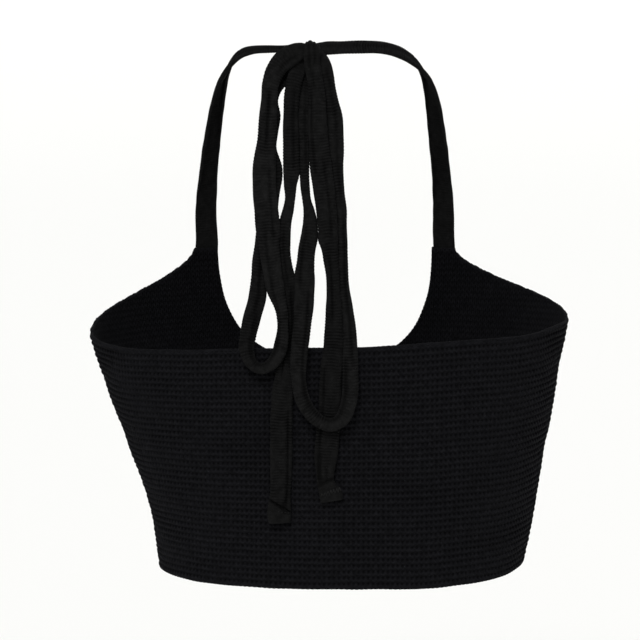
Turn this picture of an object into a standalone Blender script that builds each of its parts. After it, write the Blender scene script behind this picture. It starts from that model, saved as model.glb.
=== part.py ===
"""Halter crop top in black knit, tied in a long bow at the nape. Metres, +Z up.

+X is the wearer's left, the front faces -Y. The origin lies on the inner face of the neck strap, at the middle
of the nape, where the wearer's neck holds the garment up. The body inside is left empty: the two panels and the
ties keep the shape that they have on a general figure.
"""

import math
from collections import namedtuple

import bmesh
import bpy
import numpy as np
from mathutils import Vector

COLLECTION = "halter_crop_top"

# Cloth and seams
CLOTH = 0.002  # thickness of the knitted wall
SEAM_GAP = 0.0003  # between pieces that are sewn or pressed together

# The two cloths: linear colour and roughness of black yarn
Cloth = namedtuple("Cloth", "name colour roughness")
PANEL_KNIT = Cloth("black_knit", (0.0060, 0.0060, 0.0068), 0.92)
TIE_JERSEY = Cloth("black_jersey", (0.0078, 0.0078, 0.0080), 0.88)

# Heights of the garment's edges below the nape
HEM = -0.355
SCOOP = -0.228  # lowest point of the front neckline
HORN = -0.142  # where the front's horns take the ties
UNDERARM_LEFT = -0.1945
UNDERARM_RIGHT = -0.184

# Front cut, as distances from the middle line
HORN_INNER = 0.0755
HORN_OUTER = 0.0915
SCOOP_ROUNDNESS = 2.6  # 1 is a straight V, more is a rounder scoop
ARMHOLE_HOLLOW = 1.8  # 1 is a straight edge from underarm to horn, more is a deeper curve

# Fullness that the front is shaped to, one broad swell whose middle is bridged by the cloth
BUST_DEPTH = 0.017
BUST_APART = 0.055
BUST_HEIGHT = -0.243
BUST_WIDTH = 0.070
BUST_TALL = 0.055

# How square the torso's sections are: 2 is an ellipse
SECTION_POWER = 2.2
SECTION_SAMPLES = 361  # points worked out along half a section
PROBE = 0.0002  # how far to each side the slope of a face is felt

# Mesh density
BACK_COLUMNS = 40
BACK_ROWS = 14
SCOOP_COLUMNS = 7  # under the part of the neckline that runs across
HORN_COLUMNS = 7  # under the foot of the horn
ARMHOLE_COLUMNS = 4  # under the part of the armhole that runs across
BODY_ROWS = 14  # from the hem up to the neckline, horn and armhole
HORN_ROWS = 9  # from the foot of the horn to its top
SCOOP_SPLIT = 0.30  # share of the neckline's height where the horn's foot begins
ARMHOLE_SPLIT = 0.25  # share of the armhole's height where it ends
RING_POINTS = 10
RINGS_PER_ROW = 2  # sections of a tie for each row of its table

# A tie's section lies between a rectangle and an oval: lower powers make its sides and its faces flatter
STRIP_SIDE_POWER = 0.85
STRIP_FACE_POWER = 0.75

# Where a strap leaves its horn: it runs straight up the cloth for a little way and thickens as its edges curl
STRAP_ROOT_RUN = 0.006
STRAP_ROOT_WIDTHS = (HORN_OUTER - HORN_INNER, 0.0155)
STRAP_ROOT_THICKS = (0.0026, 0.0028)
STRAP_ROOT_LEAN = 0.45  # run towards the nape for each unit of rise
STRAP_ROOT_TURN_IN = 0.05  # and towards the middle line

# Edges sharper than this are drawn as edges, in degrees
WALL_EDGE_ANGLE = 50
STRIP_EDGE_ANGLE = 60

# Sections of the torso: side places, the y of the widest line, and the y of the back and of the front
TorsoLevel = namedtuple("TorsoLevel", "height left right widest back front")
TORSO = [
    TorsoLevel(-0.355, 0.1137, -0.1360, -0.090, 0.0000, -0.176),
    TorsoLevel(-0.320, 0.1185, -0.1430, -0.090, 0.0030, -0.178),
    TorsoLevel(-0.300, 0.1232, -0.1460, -0.089, 0.0060, -0.180),
    TorsoLevel(-0.275, 0.1318, -0.1500, -0.088, 0.0090, -0.182),
    TorsoLevel(-0.250, 0.1403, -0.1545, -0.087, 0.0120, -0.183),
    TorsoLevel(-0.220, 0.1508, -0.1592, -0.086, 0.0145, -0.183),
    TorsoLevel(-0.195, 0.1585, -0.1638, -0.085, 0.0150, -0.181),
    TorsoLevel(-0.170, 0.1640, -0.1680, -0.083, 0.0145, -0.175),
    TorsoLevel(-0.120, 0.1640, -0.1680, -0.078, 0.0115, -0.150),
    TorsoLevel(-0.060, 0.1600, -0.1620, -0.070, 0.0060, -0.110),
    TorsoLevel(0.010, 0.1550, -0.1550, -0.060, 0.0000, -0.070),
]

# Top edge of the back, from the left side seam (0) to the right one (1)
BackEdge = namedtuple("BackEdge", "around height")
BACK_EDGE = [
    BackEdge(0.00, UNDERARM_LEFT),
    BackEdge(0.14, -0.1966),
    BackEdge(0.32, -0.1952),
    BackEdge(0.52, -0.1944),
    BackEdge(0.72, -0.1905),
    BackEdge(0.86, -0.1868),
    BackEdge(1.00, UNDERARM_RIGHT),
]

# The bow's strips hang down the back. All in millimetres: x and z of the strip's middle, how far out from the
# back it lies, and the strip's width and thickness there. A strip squeezed narrower gets thicker.
BowRow = namedtuple("BowRow", "x z out width thick")
LOOP_LEFT = [
    BowRow(12.5, -0.4, 10.2, 7.0, 3.4),
    BowRow(16.8, -0.6, 10.3, 7.8, 3.4),
    BowRow(21.5, -1.6, 10.0, 9.4, 3.6),
    BowRow(26.5, -5.0, 9.5, 11.3, 3.8),
    BowRow(32.0, -13.0, 9.0, 10.0, 3.8),
    BowRow(35.2, -21.5, 8.5, 8.8, 3.8),
    BowRow(36.3, -33.0, 7.5, 9.2, 3.8),
    BowRow(36.8, -46.0, 7.3, 10.8, 3.6),
    BowRow(37.8, -58.0, 7.2, 11.2, 3.6),
    BowRow(38.8, -71.0, 7.2, 13.0, 3.4),
    BowRow(39.0, -87.0, 7.2, 13.8, 3.4),
    BowRow(38.8, -103.0, 7.2, 13.4, 3.4),
    BowRow(37.8, -113.5, 7.2, 12.6, 3.4),
    BowRow(36.2, -126.0, 7.2, 12.6, 3.4),
    BowRow(34.4, -140.5, 7.3, 11.4, 3.6),
    BowRow(31.6, -155.0, 7.5, 9.6, 3.8),
    BowRow(28.2, -168.0, 7.8, 6.8, 4.2),
    BowRow(27.4, -178.0, 8.0, 6.2, 4.4),
    BowRow(28.0, -187.0, 8.0, 7.8, 4.2),
    BowRow(30.6, -195.6, 8.0, 8.8, 4.0),
    BowRow(35.5, -201.6, 8.0, 8.6, 4.0),
    BowRow(41.5, -204.0, 8.0, 8.8, 4.0),
    BowRow(47.4, -201.0, 7.2, 9.0, 4.0),
    BowRow(50.6, -193.5, 5.6, 9.4, 4.0),
    BowRow(49.8, -184.0, 3.6, 10.0, 3.8),
    BowRow(47.4, -173.0, 2.9, 10.2, 3.8),
    BowRow(44.4, -161.5, 2.6, 10.0, 3.6),
    BowRow(42.6, -148.5, 2.4, 9.4, 3.6),
    BowRow(41.4, -137.0, 2.4, 9.6, 3.6),
    BowRow(39.6, -123.0, 2.4, 10.4, 3.6),
    BowRow(37.9, -113.0, 2.4, 11.8, 3.4),
    BowRow(36.4, -100.0, 2.4, 12.8, 3.4),
    BowRow(35.2, -84.0, 2.4, 12.8, 3.4),
    BowRow(35.4, -68.0, 2.4, 11.4, 3.4),
    BowRow(35.5, -55.0, 2.4, 9.4, 3.4),
    BowRow(34.8, -43.0, 2.4, 8.8, 3.4),
    BowRow(33.0, -33.0, 2.4, 7.8, 3.4),
    BowRow(29.8, -25.0, 2.6, 8.2, 3.2),
    BowRow(25.0, -17.5, 2.8, 8.2, 3.0),
    BowRow(20.6, -11.5, 3.2, 7.2, 3.0),
    BowRow(16.6, -6.8, 3.6, 5.4, 2.8),
    BowRow(12.8, -3.4, 4.4, 4.4, 2.8),
]
TAIL_LEFT = [
    BowRow(12.4, -3.4, 6.8, 4.4, 2.6),
    BowRow(15.4, -8.0, 6.8, 5.4, 2.6),
    BowRow(18.0, -13.5, 6.8, 6.6, 2.8),
    BowRow(20.2, -21.0, 6.6, 7.6, 3.0),
    BowRow(21.6, -29.5, 6.0, 8.4, 3.4),
    BowRow(22.2, -42.0, 5.2, 8.4, 3.6),
    BowRow(22.1, -58.0, 4.8, 9.6, 3.6),
    BowRow(21.9, -71.0, 4.6, 9.8, 3.6),
    BowRow(22.2, -79.0, 4.2, 9.0, 3.8),
    BowRow(22.5, -87.0, 3.6, 7.2, 4.2),
    BowRow(22.6, -95.5, 3.2, 5.8, 4.4),
    BowRow(23.7, -102.5, 3.2, 6.2, 4.4),
    BowRow(25.5, -110.0, 3.2, 7.0, 4.2),
    BowRow(26.5, -119.5, 3.0, 7.6, 4.2),
    BowRow(26.2, -130.5, 3.0, 6.6, 4.2),
    BowRow(25.2, -141.0, 3.0, 6.8, 4.2),
    BowRow(24.0, -151.0, 3.0, 6.8, 4.2),
    BowRow(22.9, -161.5, 2.6, 6.2, 4.0),
    BowRow(22.2, -171.5, 2.4, 6.6, 3.8),
    BowRow(22.5, -182.5, 2.4, 7.8, 3.6),
    BowRow(24.2, -194.5, 2.6, 9.2, 3.6),
    BowRow(26.1, -209.0, 2.6, 11.2, 3.6),
    BowRow(27.7, -224.0, 2.4, 12.8, 3.4),
    BowRow(28.4, -240.0, 2.4, 13.6, 3.4),
    BowRow(28.6, -257.0, 2.4, 13.6, 3.4),
    BowRow(28.8, -274.0, 2.4, 13.2, 3.4),
    BowRow(29.2, -288.0, 2.5, 12.8, 3.6),
    BowRow(29.8, -296.5, 2.8, 13.6, 4.2),
    BowRow(30.1, -303.0, 3.0, 14.8, 4.8),
    BowRow(29.7, -309.6, 2.9, 13.8, 4.2),
]
LOOP_RIGHT = [
    BowRow(9.2, -3.6, 4.4, 4.4, 3.0),
    BowRow(10.4, -9.0, 3.2, 5.6, 3.0),
    BowRow(13.0, -18.5, 2.6, 6.8, 3.0),
    BowRow(14.4, -29.5, 2.3, 6.8, 3.2),
    BowRow(14.2, -42.0, 2.2, 6.6, 3.2),
    BowRow(13.9, -55.0, 2.2, 6.6, 3.4),
    BowRow(13.6, -68.0, 2.2, 6.6, 3.6),
    BowRow(13.4, -79.0, 2.4, 5.6, 4.0),
    BowRow(12.9, -89.0, 2.6, 4.8, 4.2),
    BowRow(11.9, -97.0, 2.6, 4.8, 4.2),
    BowRow(10.4, -104.0, 2.5, 6.4, 4.0),
    BowRow(9.7, -111.0, 2.4, 8.4, 3.8),
    BowRow(10.4, -120.0, 2.4, 9.8, 3.6),
    BowRow(11.8, -129.0, 2.5, 10.0, 3.6),
    BowRow(12.8, -139.0, 3.2, 11.0, 3.6),
    BowRow(13.2, -151.5, 5.0, 12.2, 3.4),
    BowRow(13.6, -161.5, 6.6, 12.0, 3.4),
    BowRow(14.3, -173.0, 7.4, 10.8, 3.6),
    BowRow(15.5, -184.0, 7.6, 10.4, 3.8),
    BowRow(16.7, -194.5, 7.8, 10.2, 3.8),
    BowRow(17.3, -206.0, 7.8, 9.2, 3.8),
    BowRow(16.6, -217.0, 7.8, 8.4, 3.8),
    BowRow(14.2, -227.0, 7.8, 8.4, 3.8),
    BowRow(9.8, -234.5, 7.9, 8.4, 3.8),
    BowRow(3.4, -240.0, 8.0, 8.6, 3.8),
    BowRow(-3.9, -242.3, 8.0, 9.0, 3.8),
    BowRow(-10.0, -239.3, 7.8, 9.0, 3.8),
    BowRow(-14.2, -232.4, 7.4, 9.0, 3.8),
    BowRow(-16.2, -223.0, 6.4, 9.4, 3.8),
    BowRow(-16.5, -210.0, 4.6, 9.6, 3.8),
    BowRow(-16.0, -195.5, 3.0, 9.4, 3.8),
    BowRow(-14.6, -181.0, 2.6, 9.0, 3.8),
    BowRow(-13.1, -168.0, 2.5, 8.4, 3.8),
    BowRow(-11.9, -156.0, 2.5, 7.4, 4.0),
    BowRow(-11.2, -145.0, 2.5, 6.8, 4.0),
    BowRow(-11.1, -129.0, 2.5, 6.4, 4.0),
    BowRow(-10.7, -116.0, 2.5, 6.0, 4.0),
    BowRow(-10.4, -104.5, 2.5, 6.4, 4.0),
    BowRow(-9.3, -93.5, 2.5, 6.2, 4.0),
    BowRow(-8.1, -81.0, 2.5, 6.8, 3.8),
    BowRow(-7.6, -68.0, 2.5, 7.4, 3.6),
    BowRow(-7.0, -55.0, 2.6, 7.8, 3.6),
    BowRow(-6.1, -44.0, 2.8, 7.8, 3.6),
    BowRow(-4.3, -34.0, 3.0, 6.6, 3.8),
    BowRow(-2.8, -25.0, 3.4, 5.8, 3.8),
    BowRow(-1.4, -17.5, 4.2, 5.8, 3.4),
    BowRow(0.6, -11.0, 5.4, 6.0, 3.0),
    BowRow(3.4, -6.4, 6.2, 5.6, 3.0),
    BowRow(6.6, -3.0, 6.6, 4.6, 3.0),
]
TAIL_RIGHT = [
    BowRow(9.0, -2.6, 9.6, 8.0, 3.0),
    BowRow(8.6, -7.4, 10.6, 8.6, 3.0),
    BowRow(7.6, -13.5, 10.6, 9.0, 3.2),
    BowRow(6.2, -21.0, 9.6, 9.2, 3.4),
    BowRow(5.2, -29.5, 8.4, 9.8, 3.6),
    BowRow(4.6, -42.0, 7.2, 11.0, 3.6),
    BowRow(3.8, -55.0, 6.8, 11.8, 3.4),
    BowRow(3.0, -66.0, 6.6, 12.6, 3.4),
    BowRow(2.2, -77.5, 6.5, 12.8, 3.4),
    BowRow(1.0, -87.0, 6.5, 12.8, 3.4),
    BowRow(-0.1, -97.0, 6.5, 12.5, 3.4),
    BowRow(-1.1, -106.5, 6.5, 12.4, 3.4),
    BowRow(-1.8, -116.0, 6.5, 11.8, 3.4),
    BowRow(-2.6, -126.0, 6.5, 10.2, 3.6),
    BowRow(-3.6, -135.5, 6.5, 8.6, 4.0),
    BowRow(-4.8, -145.0, 6.5, 7.6, 4.2),
    BowRow(-5.5, -156.0, 6.5, 7.2, 4.2),
    BowRow(-5.8, -168.0, 6.5, 8.6, 4.0),
    BowRow(-5.8, -180.0, 6.2, 10.2, 3.8),
    BowRow(-5.2, -191.0, 5.2, 11.6, 3.6),
    BowRow(-4.3, -202.5, 3.4, 12.8, 3.4),
    BowRow(-3.6, -214.0, 2.5, 13.4, 3.4),
    BowRow(-3.3, -227.0, 2.4, 13.6, 3.4),
    BowRow(-2.2, -243.5, 2.4, 14.4, 3.4),
    BowRow(-0.9, -255.0, 2.4, 15.4, 3.4),
    BowRow(-0.4, -264.0, 2.5, 14.4, 3.6),
    BowRow(-0.5, -271.5, 2.7, 11.6, 4.0),
    BowRow(-1.0, -278.0, 2.8, 9.6, 4.4),
    BowRow(-1.4, -282.5, 2.8, 9.6, 4.4),
    BowRow(-2.4, -287.0, 2.7, 12.8, 4.0),
    BowRow(-3.8, -292.0, 2.6, 15.4, 3.8),
    BowRow(-4.6, -296.2, 2.6, 14.2, 3.8),
]

# The neck straps run from the horn over the slope of the shoulder to the nape. In millimetres, with x counted
# out towards the strap's own side: place of the strip's middle, width, thickness, and the way its face looks.
StrapRow = namedtuple("StrapRow", "x y z width thick face_x face_y face_z")
STRAP_LEFT = [
    StrapRow(83.0, -142.8, -119.5, 14.6, 3.0, 0.34, -0.82, 0.46),
    StrapRow(81.6, -131.0, -99.0, 13.5, 3.2, 0.35, -0.80, 0.48),
    StrapRow(79.0, -115.0, -77.0, 12.0, 3.4, 0.35, -0.75, 0.56),
    StrapRow(75.5, -96.0, -54.5, 11.0, 3.4, 0.42, -0.65, 0.63),
    StrapRow(71.5, -77.0, -34.0, 10.0, 3.4, 0.55, -0.40, 0.73),
    StrapRow(67.0, -58.5, -18.8, 8.5, 3.4, 0.68, -0.10, 0.72),
    StrapRow(62.0, -46.0, -10.0, 6.5, 3.6, 0.72, 0.30, 0.62),
    StrapRow(55.5, -32.5, -3.6, 5.0, 3.6, 0.70, 0.60, 0.38),
    StrapRow(47.0, -19.5, -0.6, 4.2, 3.6, 0.50, 0.84, 0.20),
    StrapRow(36.0, -9.0, 0.0, 3.8, 3.6, 0.25, 0.96, 0.10),
    StrapRow(25.0, -2.4, 0.2, 4.2, 3.4, 0.16, 0.98, 0.10),
    StrapRow(16.6, 1.4, 0.6, 5.0, 3.2, 0.06, 0.99, 0.10),
    StrapRow(10.6, 3.6, 0.6, 5.0, 3.0, 0.00, 1.00, 0.10),
]
STRAP_RIGHT = [
    StrapRow(83.0, -142.8, -119.5, 14.6, 3.0, 0.34, -0.82, 0.46),
    StrapRow(81.6, -131.0, -99.0, 13.5, 3.2, 0.35, -0.80, 0.48),
    StrapRow(79.0, -115.0, -77.0, 12.5, 3.2, 0.35, -0.75, 0.56),
    StrapRow(75.8, -96.0, -54.5, 12.0, 3.2, 0.42, -0.65, 0.63),
    StrapRow(72.2, -78.0, -34.0, 11.0, 3.2, 0.55, -0.40, 0.73),
    StrapRow(67.4, -61.0, -19.6, 9.5, 3.4, 0.68, -0.10, 0.72),
    StrapRow(61.5, -46.0, -11.2, 8.0, 3.4, 0.72, 0.30, 0.62),
    StrapRow(55.0, -32.5, -6.0, 7.2, 3.4, 0.66, 0.64, 0.38),
    StrapRow(46.8, -19.8, -2.0, 6.8, 3.4, 0.48, 0.85, 0.20),
    StrapRow(36.8, -9.6, 0.4, 6.8, 3.4, 0.25, 0.96, 0.10),
    StrapRow(23.5, -1.8, 1.0, 6.9, 3.2, 0.12, 0.99, 0.10),
    StrapRow(10.8, 1.5, 0.9, 6.9, 3.2, 0.03, 0.99, 0.10),
    StrapRow(0.6, 2.0, 0.6, 6.6, 3.2, 0.00, 1.00, 0.10),
    StrapRow(-7.2, 3.4, 0.2, 6.0, 3.0, 0.00, 1.00, 0.10),
]

# The knot, a pressed lump with a groove at each edge of the wrap that runs slantwise over it
KNOT_MIDDLE = Vector((0.0092, 0.0076, -0.0012))
KNOT_HALF = Vector((0.0068, 0.0066, 0.0073))
KNOT_GROOVE_DEPTH = 0.0009
KNOT_GROOVE_WIDTH = 0.0016
KNOT_GROOVES = (-0.0030, 0.0030)
KNOT_GROOVE_SLANT = 0.35
KNOT_MERIDIANS = 24
KNOT_RINGS = 14

MILLIMETRE = 0.001


def new_material(name, cloth):
    """Plain cloth material: black yarn, matt, no metal in it."""
    material = bpy.data.materials.new(name)
    material.use_nodes = True
    shader = material.node_tree.nodes["Principled BSDF"]
    shader.inputs["Base Color"].default_value = (*cloth.colour, 1.0)
    shader.inputs["Roughness"].default_value = cloth.roughness
    shader.inputs["Metallic"].default_value = 0.0
    material.diffuse_color = (*cloth.colour, 1.0)
    return material


def through(knots, values, at):
    """Smooth curve through the table's values, read at the given places."""
    knots = np.asarray(knots, float)
    values = np.asarray(values, float)
    at = np.clip(at, knots[0], knots[-1])
    slopes = np.gradient(values, knots, axis=0)
    index = np.clip(np.searchsorted(knots, at) - 1, 0, len(knots) - 2)
    span = knots[index + 1] - knots[index]
    f = (at - knots[index]) / span
    if values.ndim > 1:
        f = f[:, None]
        span = span[:, None]
    rise = (2 * f**3 - 3 * f**2 + 1) * values[index] + (3 * f**2 - 2 * f**3) * values[index + 1]
    lean = (f**3 - 2 * f**2 + f) * slopes[index] + (f**3 - f**2) * slopes[index + 1]
    return rise + span * lean


TORSO_TABLE = np.array(TORSO)
BACK_EDGE_TABLE = np.array(BACK_EDGE)


def torso_level(height):
    """Section sizes at a height, read from the torso's table."""
    row = through(TORSO_TABLE[:, 0], TORSO_TABLE[:, 1:], np.array([height]))[0]
    return TorsoLevel(height, *row)


def fullness(x, height):
    """How far the front stands out at x and height to clear the bust."""
    down = ((height - BUST_HEIGHT) / BUST_TALL) ** 2
    left = ((x - BUST_APART) / BUST_WIDTH) ** 2
    right = ((x + BUST_APART) / BUST_WIDTH) ** 2
    return BUST_DEPTH * (np.exp(-left - down) + np.exp(-right - down))


def half_section(height, at_back):
    """Points along the back or front half of a section, from left to right, and their arc lengths."""
    level = torso_level(height)
    middle = (level.left + level.right) / 2
    half_width = (level.left - level.right) / 2
    depth = (level.back if at_back else level.front) - level.widest
    turn = np.linspace(0, math.pi, SECTION_SAMPLES)
    x = middle + half_width * np.sign(np.cos(turn)) * np.abs(np.cos(turn)) ** (2 / SECTION_POWER)
    if not at_back:
        depth = depth - fullness(x, height)
    y = level.widest + depth * np.abs(np.sin(turn)) ** (2 / SECTION_POWER)
    steps = np.hypot(np.diff(x), np.diff(y))
    return x, y, np.concatenate(([0.0], np.cumsum(steps)))


def section_value(x, y, z, at_back):
    """1 on the torso's outer face, less inside it and more outside."""
    level = torso_level(z)
    middle = (level.left + level.right) / 2
    half_width = (level.left - level.right) / 2
    depth = (level.back if at_back else level.front) - level.widest
    if not at_back:
        depth = depth - fullness(x, z)
    across = abs((x - middle) / half_width) ** SECTION_POWER
    return across + abs((y - level.widest) / depth) ** SECTION_POWER


def outward(point, at_back):
    """Unit vector that points out of the torso's face at a point of it."""
    x, y, z = point
    slope = Vector(
        (
            section_value(x + PROBE, y, z, at_back) - section_value(x - PROBE, y, z, at_back),
            section_value(x, y + PROBE, z, at_back) - section_value(x, y - PROBE, z, at_back),
            section_value(x, y, z + PROBE, at_back) - section_value(x, y, z - PROBE, at_back),
        )
    )
    return slope.normalized()


def arc_at(height, x, at_back):
    """Arc length from the left side to the place where the section passes x."""
    xs, _, arcs = half_section(height, at_back)
    return float(np.interp(-x, -xs, arcs))


def torso_point(height, arc, at_back):
    """Point of the torso's outer face at an arc length from the left side."""
    xs, ys, arcs = half_section(height, at_back)
    return Vector((float(np.interp(arc, arcs, xs)), float(np.interp(arc, arcs, ys)), height))


def link(mesh_data, name, cloth, collection):
    """Puts a mesh in the collection as a piece with a material of its own."""
    piece = bpy.data.objects.new(name, mesh_data)
    piece.data.materials.append(new_material(cloth.name + "_" + name, cloth))
    collection.objects.link(piece)
    return piece


def closed_wall(name, outer, faces, at_back, cloth, collection):
    """Cloth wall: the outer face, the inner face one cloth inside it, and rims along every free edge."""
    inner = [point - outward(point, at_back) * CLOTH for point in outer]
    count = len(outer)
    used = {(face[k], face[(k + 1) % 4]) for face in faces for k in range(4)}
    free = [edge for edge in used if (edge[1], edge[0]) not in used]
    inside = [tuple(count + corner for corner in reversed(face)) for face in faces]
    rims = [(second, first, first + count, second + count) for first, second in free]
    data = bpy.data.meshes.new(name)
    data.from_pydata([tuple(point) for point in outer + inner], [], faces + inside + rims)
    wall = bmesh.new()
    wall.from_mesh(data)
    bmesh.ops.recalc_face_normals(wall, faces=wall.faces)
    wall.to_mesh(data)
    wall.free()
    data.shade_smooth()
    data.set_sharp_from_angle(angle=math.radians(WALL_EDGE_ANGLE))
    return link(data, name, cloth, collection)


def make_back_panel(cloth, collection):
    """Knitted band across the back, from seam to seam and from the hem to its top edge."""
    outer = []
    for column in range(BACK_COLUMNS + 1):
        around = column / BACK_COLUMNS
        top = float(through(BACK_EDGE_TABLE[:, 0], BACK_EDGE_TABLE[:, 1], np.array([around]))[0])
        for row in range(BACK_ROWS + 1):
            height = HEM + (top - HEM) * row / BACK_ROWS
            length = half_section(height, True)[2][-1] - SEAM_GAP
            outer.append(torso_point(height, SEAM_GAP / 2 + around * length, True))
    stride = BACK_ROWS + 1
    faces = [
        (c * stride + r, (c + 1) * stride + r, (c + 1) * stride + r + 1, c * stride + r + 1)
        for c in range(BACK_COLUMNS)
        for r in range(BACK_ROWS)
    ]
    return closed_wall("back_panel", outer, faces, True, cloth, collection)


def front_arc(height, share, hand):
    """Arc length at a share of the way from the front's middle to a side seam. hand is 1 left, -1 right."""
    level = torso_level(height)
    length = half_section(height, False)[2][-1]
    centre = arc_at(height, (level.left + level.right) / 2, False)
    seam = SEAM_GAP / 2 if hand > 0 else length - SEAM_GAP / 2
    return centre + (seam - centre) * share


def front_share(height, x, hand):
    """The share that front_arc would need to reach x."""
    centre = front_arc(height, 0.0, hand)
    return (arc_at(height, x, False) - centre) / (front_arc(height, 1.0, hand) - centre)


def neckline_width(rise):
    """Share of the neckline's half width that it has opened to at a share of its height."""
    return (1 - (1 - rise) ** SCOOP_ROUNDNESS) ** (1 / SCOOP_ROUNDNESS)


def neckline_rise(width):
    """Share of the neckline's height reached at a share of its half width."""
    return 1 - (1 - width**SCOOP_ROUNDNESS) ** (1 / SCOOP_ROUNDNESS)


def neckline_point(rise, hand):
    """Height and share of the neckline's edge at a share of its height."""
    height = SCOOP + (HORN - SCOOP) * rise
    level = torso_level(height)
    middle = (level.left + level.right) / 2
    x = middle * (1 - rise) + hand * HORN_INNER * neckline_width(rise)
    return height, front_share(height, x, hand)


def armhole_inset(rise):
    """Share of the way in from seam to horn that the armhole's edge has gone at a share of its height."""
    return 1 - (1 - rise) ** ARMHOLE_HOLLOW


def armhole_rise(inset):
    """Share of the armhole's height reached where its edge has gone in by that share."""
    return 1 - (1 - inset) ** (1 / ARMHOLE_HOLLOW)


def armhole_point(rise, hand):
    """Height and share of the armhole's edge at a share of its height."""
    underarm = UNDERARM_LEFT if hand > 0 else UNDERARM_RIGHT
    horn_share = front_share(HORN, hand * HORN_OUTER, hand)
    return underarm + (HORN - underarm) * rise, 1 - (1 - horn_share) * armhole_inset(rise)


def between(first, second, part):
    """Height and share part of the way from one edge point to another."""
    return tuple(a + (b - a) * part for a, b in zip(first, second))


def front_body(hand):
    """Grid of the front's half below the neckline, the horn's foot and the armhole, as rows from the hem up."""
    opened = neckline_width(SCOOP_SPLIT)
    across = [c / SCOOP_COLUMNS for c in range(SCOOP_COLUMNS + 1)]
    tops = [neckline_point(neckline_rise(opened * part), hand) for part in across]
    foot_in = tops[-1]
    foot_out = armhole_point(ARMHOLE_SPLIT, hand)
    tops += [between(foot_in, foot_out, c / HORN_COLUMNS) for c in range(1, HORN_COLUMNS + 1)]
    inset = armhole_inset(ARMHOLE_SPLIT)
    for column in range(1, ARMHOLE_COLUMNS + 1):
        tops.append(armhole_point(armhole_rise(inset * (1 - column / ARMHOLE_COLUMNS)), hand))
    grid = []
    for row in range(BODY_ROWS + 1):
        places = [(HEM + (top - HEM) * row / BODY_ROWS, share) for top, share in tops]
        grid.append([torso_point(z, front_arc(z, share, hand), False) for z, share in places])
    return grid


def front_horn(hand):
    """Grid of the horn that rises from the front's half to take the strap, as rows from above its foot."""
    grid = []
    for row in range(1, HORN_ROWS + 1):
        part = row / HORN_ROWS
        inner = neckline_point(SCOOP_SPLIT + (1 - SCOOP_SPLIT) * part, hand)
        outer = armhole_point(ARMHOLE_SPLIT + (1 - ARMHOLE_SPLIT) * part, hand)
        places = [between(inner, outer, column / HORN_COLUMNS) for column in range(HORN_COLUMNS + 1)]
        grid.append([torso_point(z, front_arc(z, share, hand), False) for z, share in places])
    return grid


def make_front_panel(cloth, collection):
    """Knitted front from seam to seam, cut out at the neck and armholes so that a horn rises at each side."""
    outer = []
    index_of = {}
    faces = []

    def number(point):
        key = tuple(round(value, 6) for value in point)
        if key not in index_of:
            index_of[key] = len(outer)
            outer.append(point)
        return index_of[key]

    for hand in (1, -1):
        body = front_body(hand)
        foot = body[-1][SCOOP_COLUMNS : SCOOP_COLUMNS + HORN_COLUMNS + 1]
        horn = [foot] + front_horn(hand)
        for grid in (body, horn):
            numbers = [[number(point) for point in row] for row in grid]
            for low, high in zip(numbers, numbers[1:]):
                for c in range(len(low) - 1):
                    corners = (low[c], low[c + 1], high[c + 1], high[c])
                    faces.append(corners if hand > 0 else tuple(reversed(corners)))
    return closed_wall("front_panel", outer, faces, False, cloth, collection)


def strip_mesh(name, middles, widths, thicks, looks):
    """Flattened tube along its middle line, one oval ring of cloth at each step, closed at both ends."""
    runs = [(second - first).length for first, second in zip(middles, middles[1:])]
    knots = np.concatenate(([0.0], np.cumsum(runs)))
    steps = RINGS_PER_ROW * (len(middles) - 1)
    at = np.interp(np.arange(steps + 1) / RINGS_PER_ROW, np.arange(len(middles)), knots)
    table = np.array([[*m, w, t, *f] for m, w, t, f in zip(middles, widths, thicks, looks)])
    rows = through(knots, table, at)
    strip = bmesh.new()
    rings = []
    for k, row in enumerate(rows):
        ahead = Vector(rows[min(k + 1, steps), :3]) - Vector(rows[max(k - 1, 0), :3])
        ahead.normalize()
        face = Vector(row[5:8])
        face = (face - ahead * face.dot(ahead)).normalized()
        across = ahead.cross(face)
        ring = []
        for corner in range(RING_POINTS):
            turn = 2 * math.pi * corner / RING_POINTS
            side = math.copysign(abs(math.cos(turn)) ** STRIP_SIDE_POWER, math.cos(turn)) * row[3] / 2
            out = math.copysign(abs(math.sin(turn)) ** STRIP_FACE_POWER, math.sin(turn)) * row[4] / 2
            ring.append(strip.verts.new(Vector(row[:3]) + across * side + face * out))
        rings.append(ring)
    for near, far in zip(rings, rings[1:]):
        for corner in range(RING_POINTS):
            after = (corner + 1) % RING_POINTS
            strip.faces.new((near[corner], near[after], far[after], far[corner]))
    strip.faces.new(rings[0])
    strip.faces.new(rings[-1])
    bmesh.ops.recalc_face_normals(strip, faces=strip.faces)
    data = bpy.data.meshes.new(name)
    strip.to_mesh(data)
    strip.free()
    data.shade_smooth()
    data.set_sharp_from_angle(angle=math.radians(STRIP_EDGE_ANGLE))
    return data


def back_line(x, z):
    """The y of the back's face at x and z."""
    xs, ys, _ = half_section(z, True)
    return float(np.interp(-x, -xs, ys))


def make_bow_strip(name, rows, cutter, cloth, collection):
    """Strip of the bow: it hangs against the back, and its upper ends stop just short of the knot."""
    middles = []
    for row in rows:
        x = row.x * MILLIMETRE
        z = row.z * MILLIMETRE
        middles.append(Vector((x, back_line(x, z) + row.out * MILLIMETRE, z)))
    widths = [row.width * MILLIMETRE for row in rows]
    thicks = [row.thick * MILLIMETRE for row in rows]
    looks = [(0.0, 1.0, 0.0)] * len(rows)
    piece = link(strip_mesh(name, middles, widths, thicks, looks), name, cloth, collection)
    trim(piece, cutter)
    return piece


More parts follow.
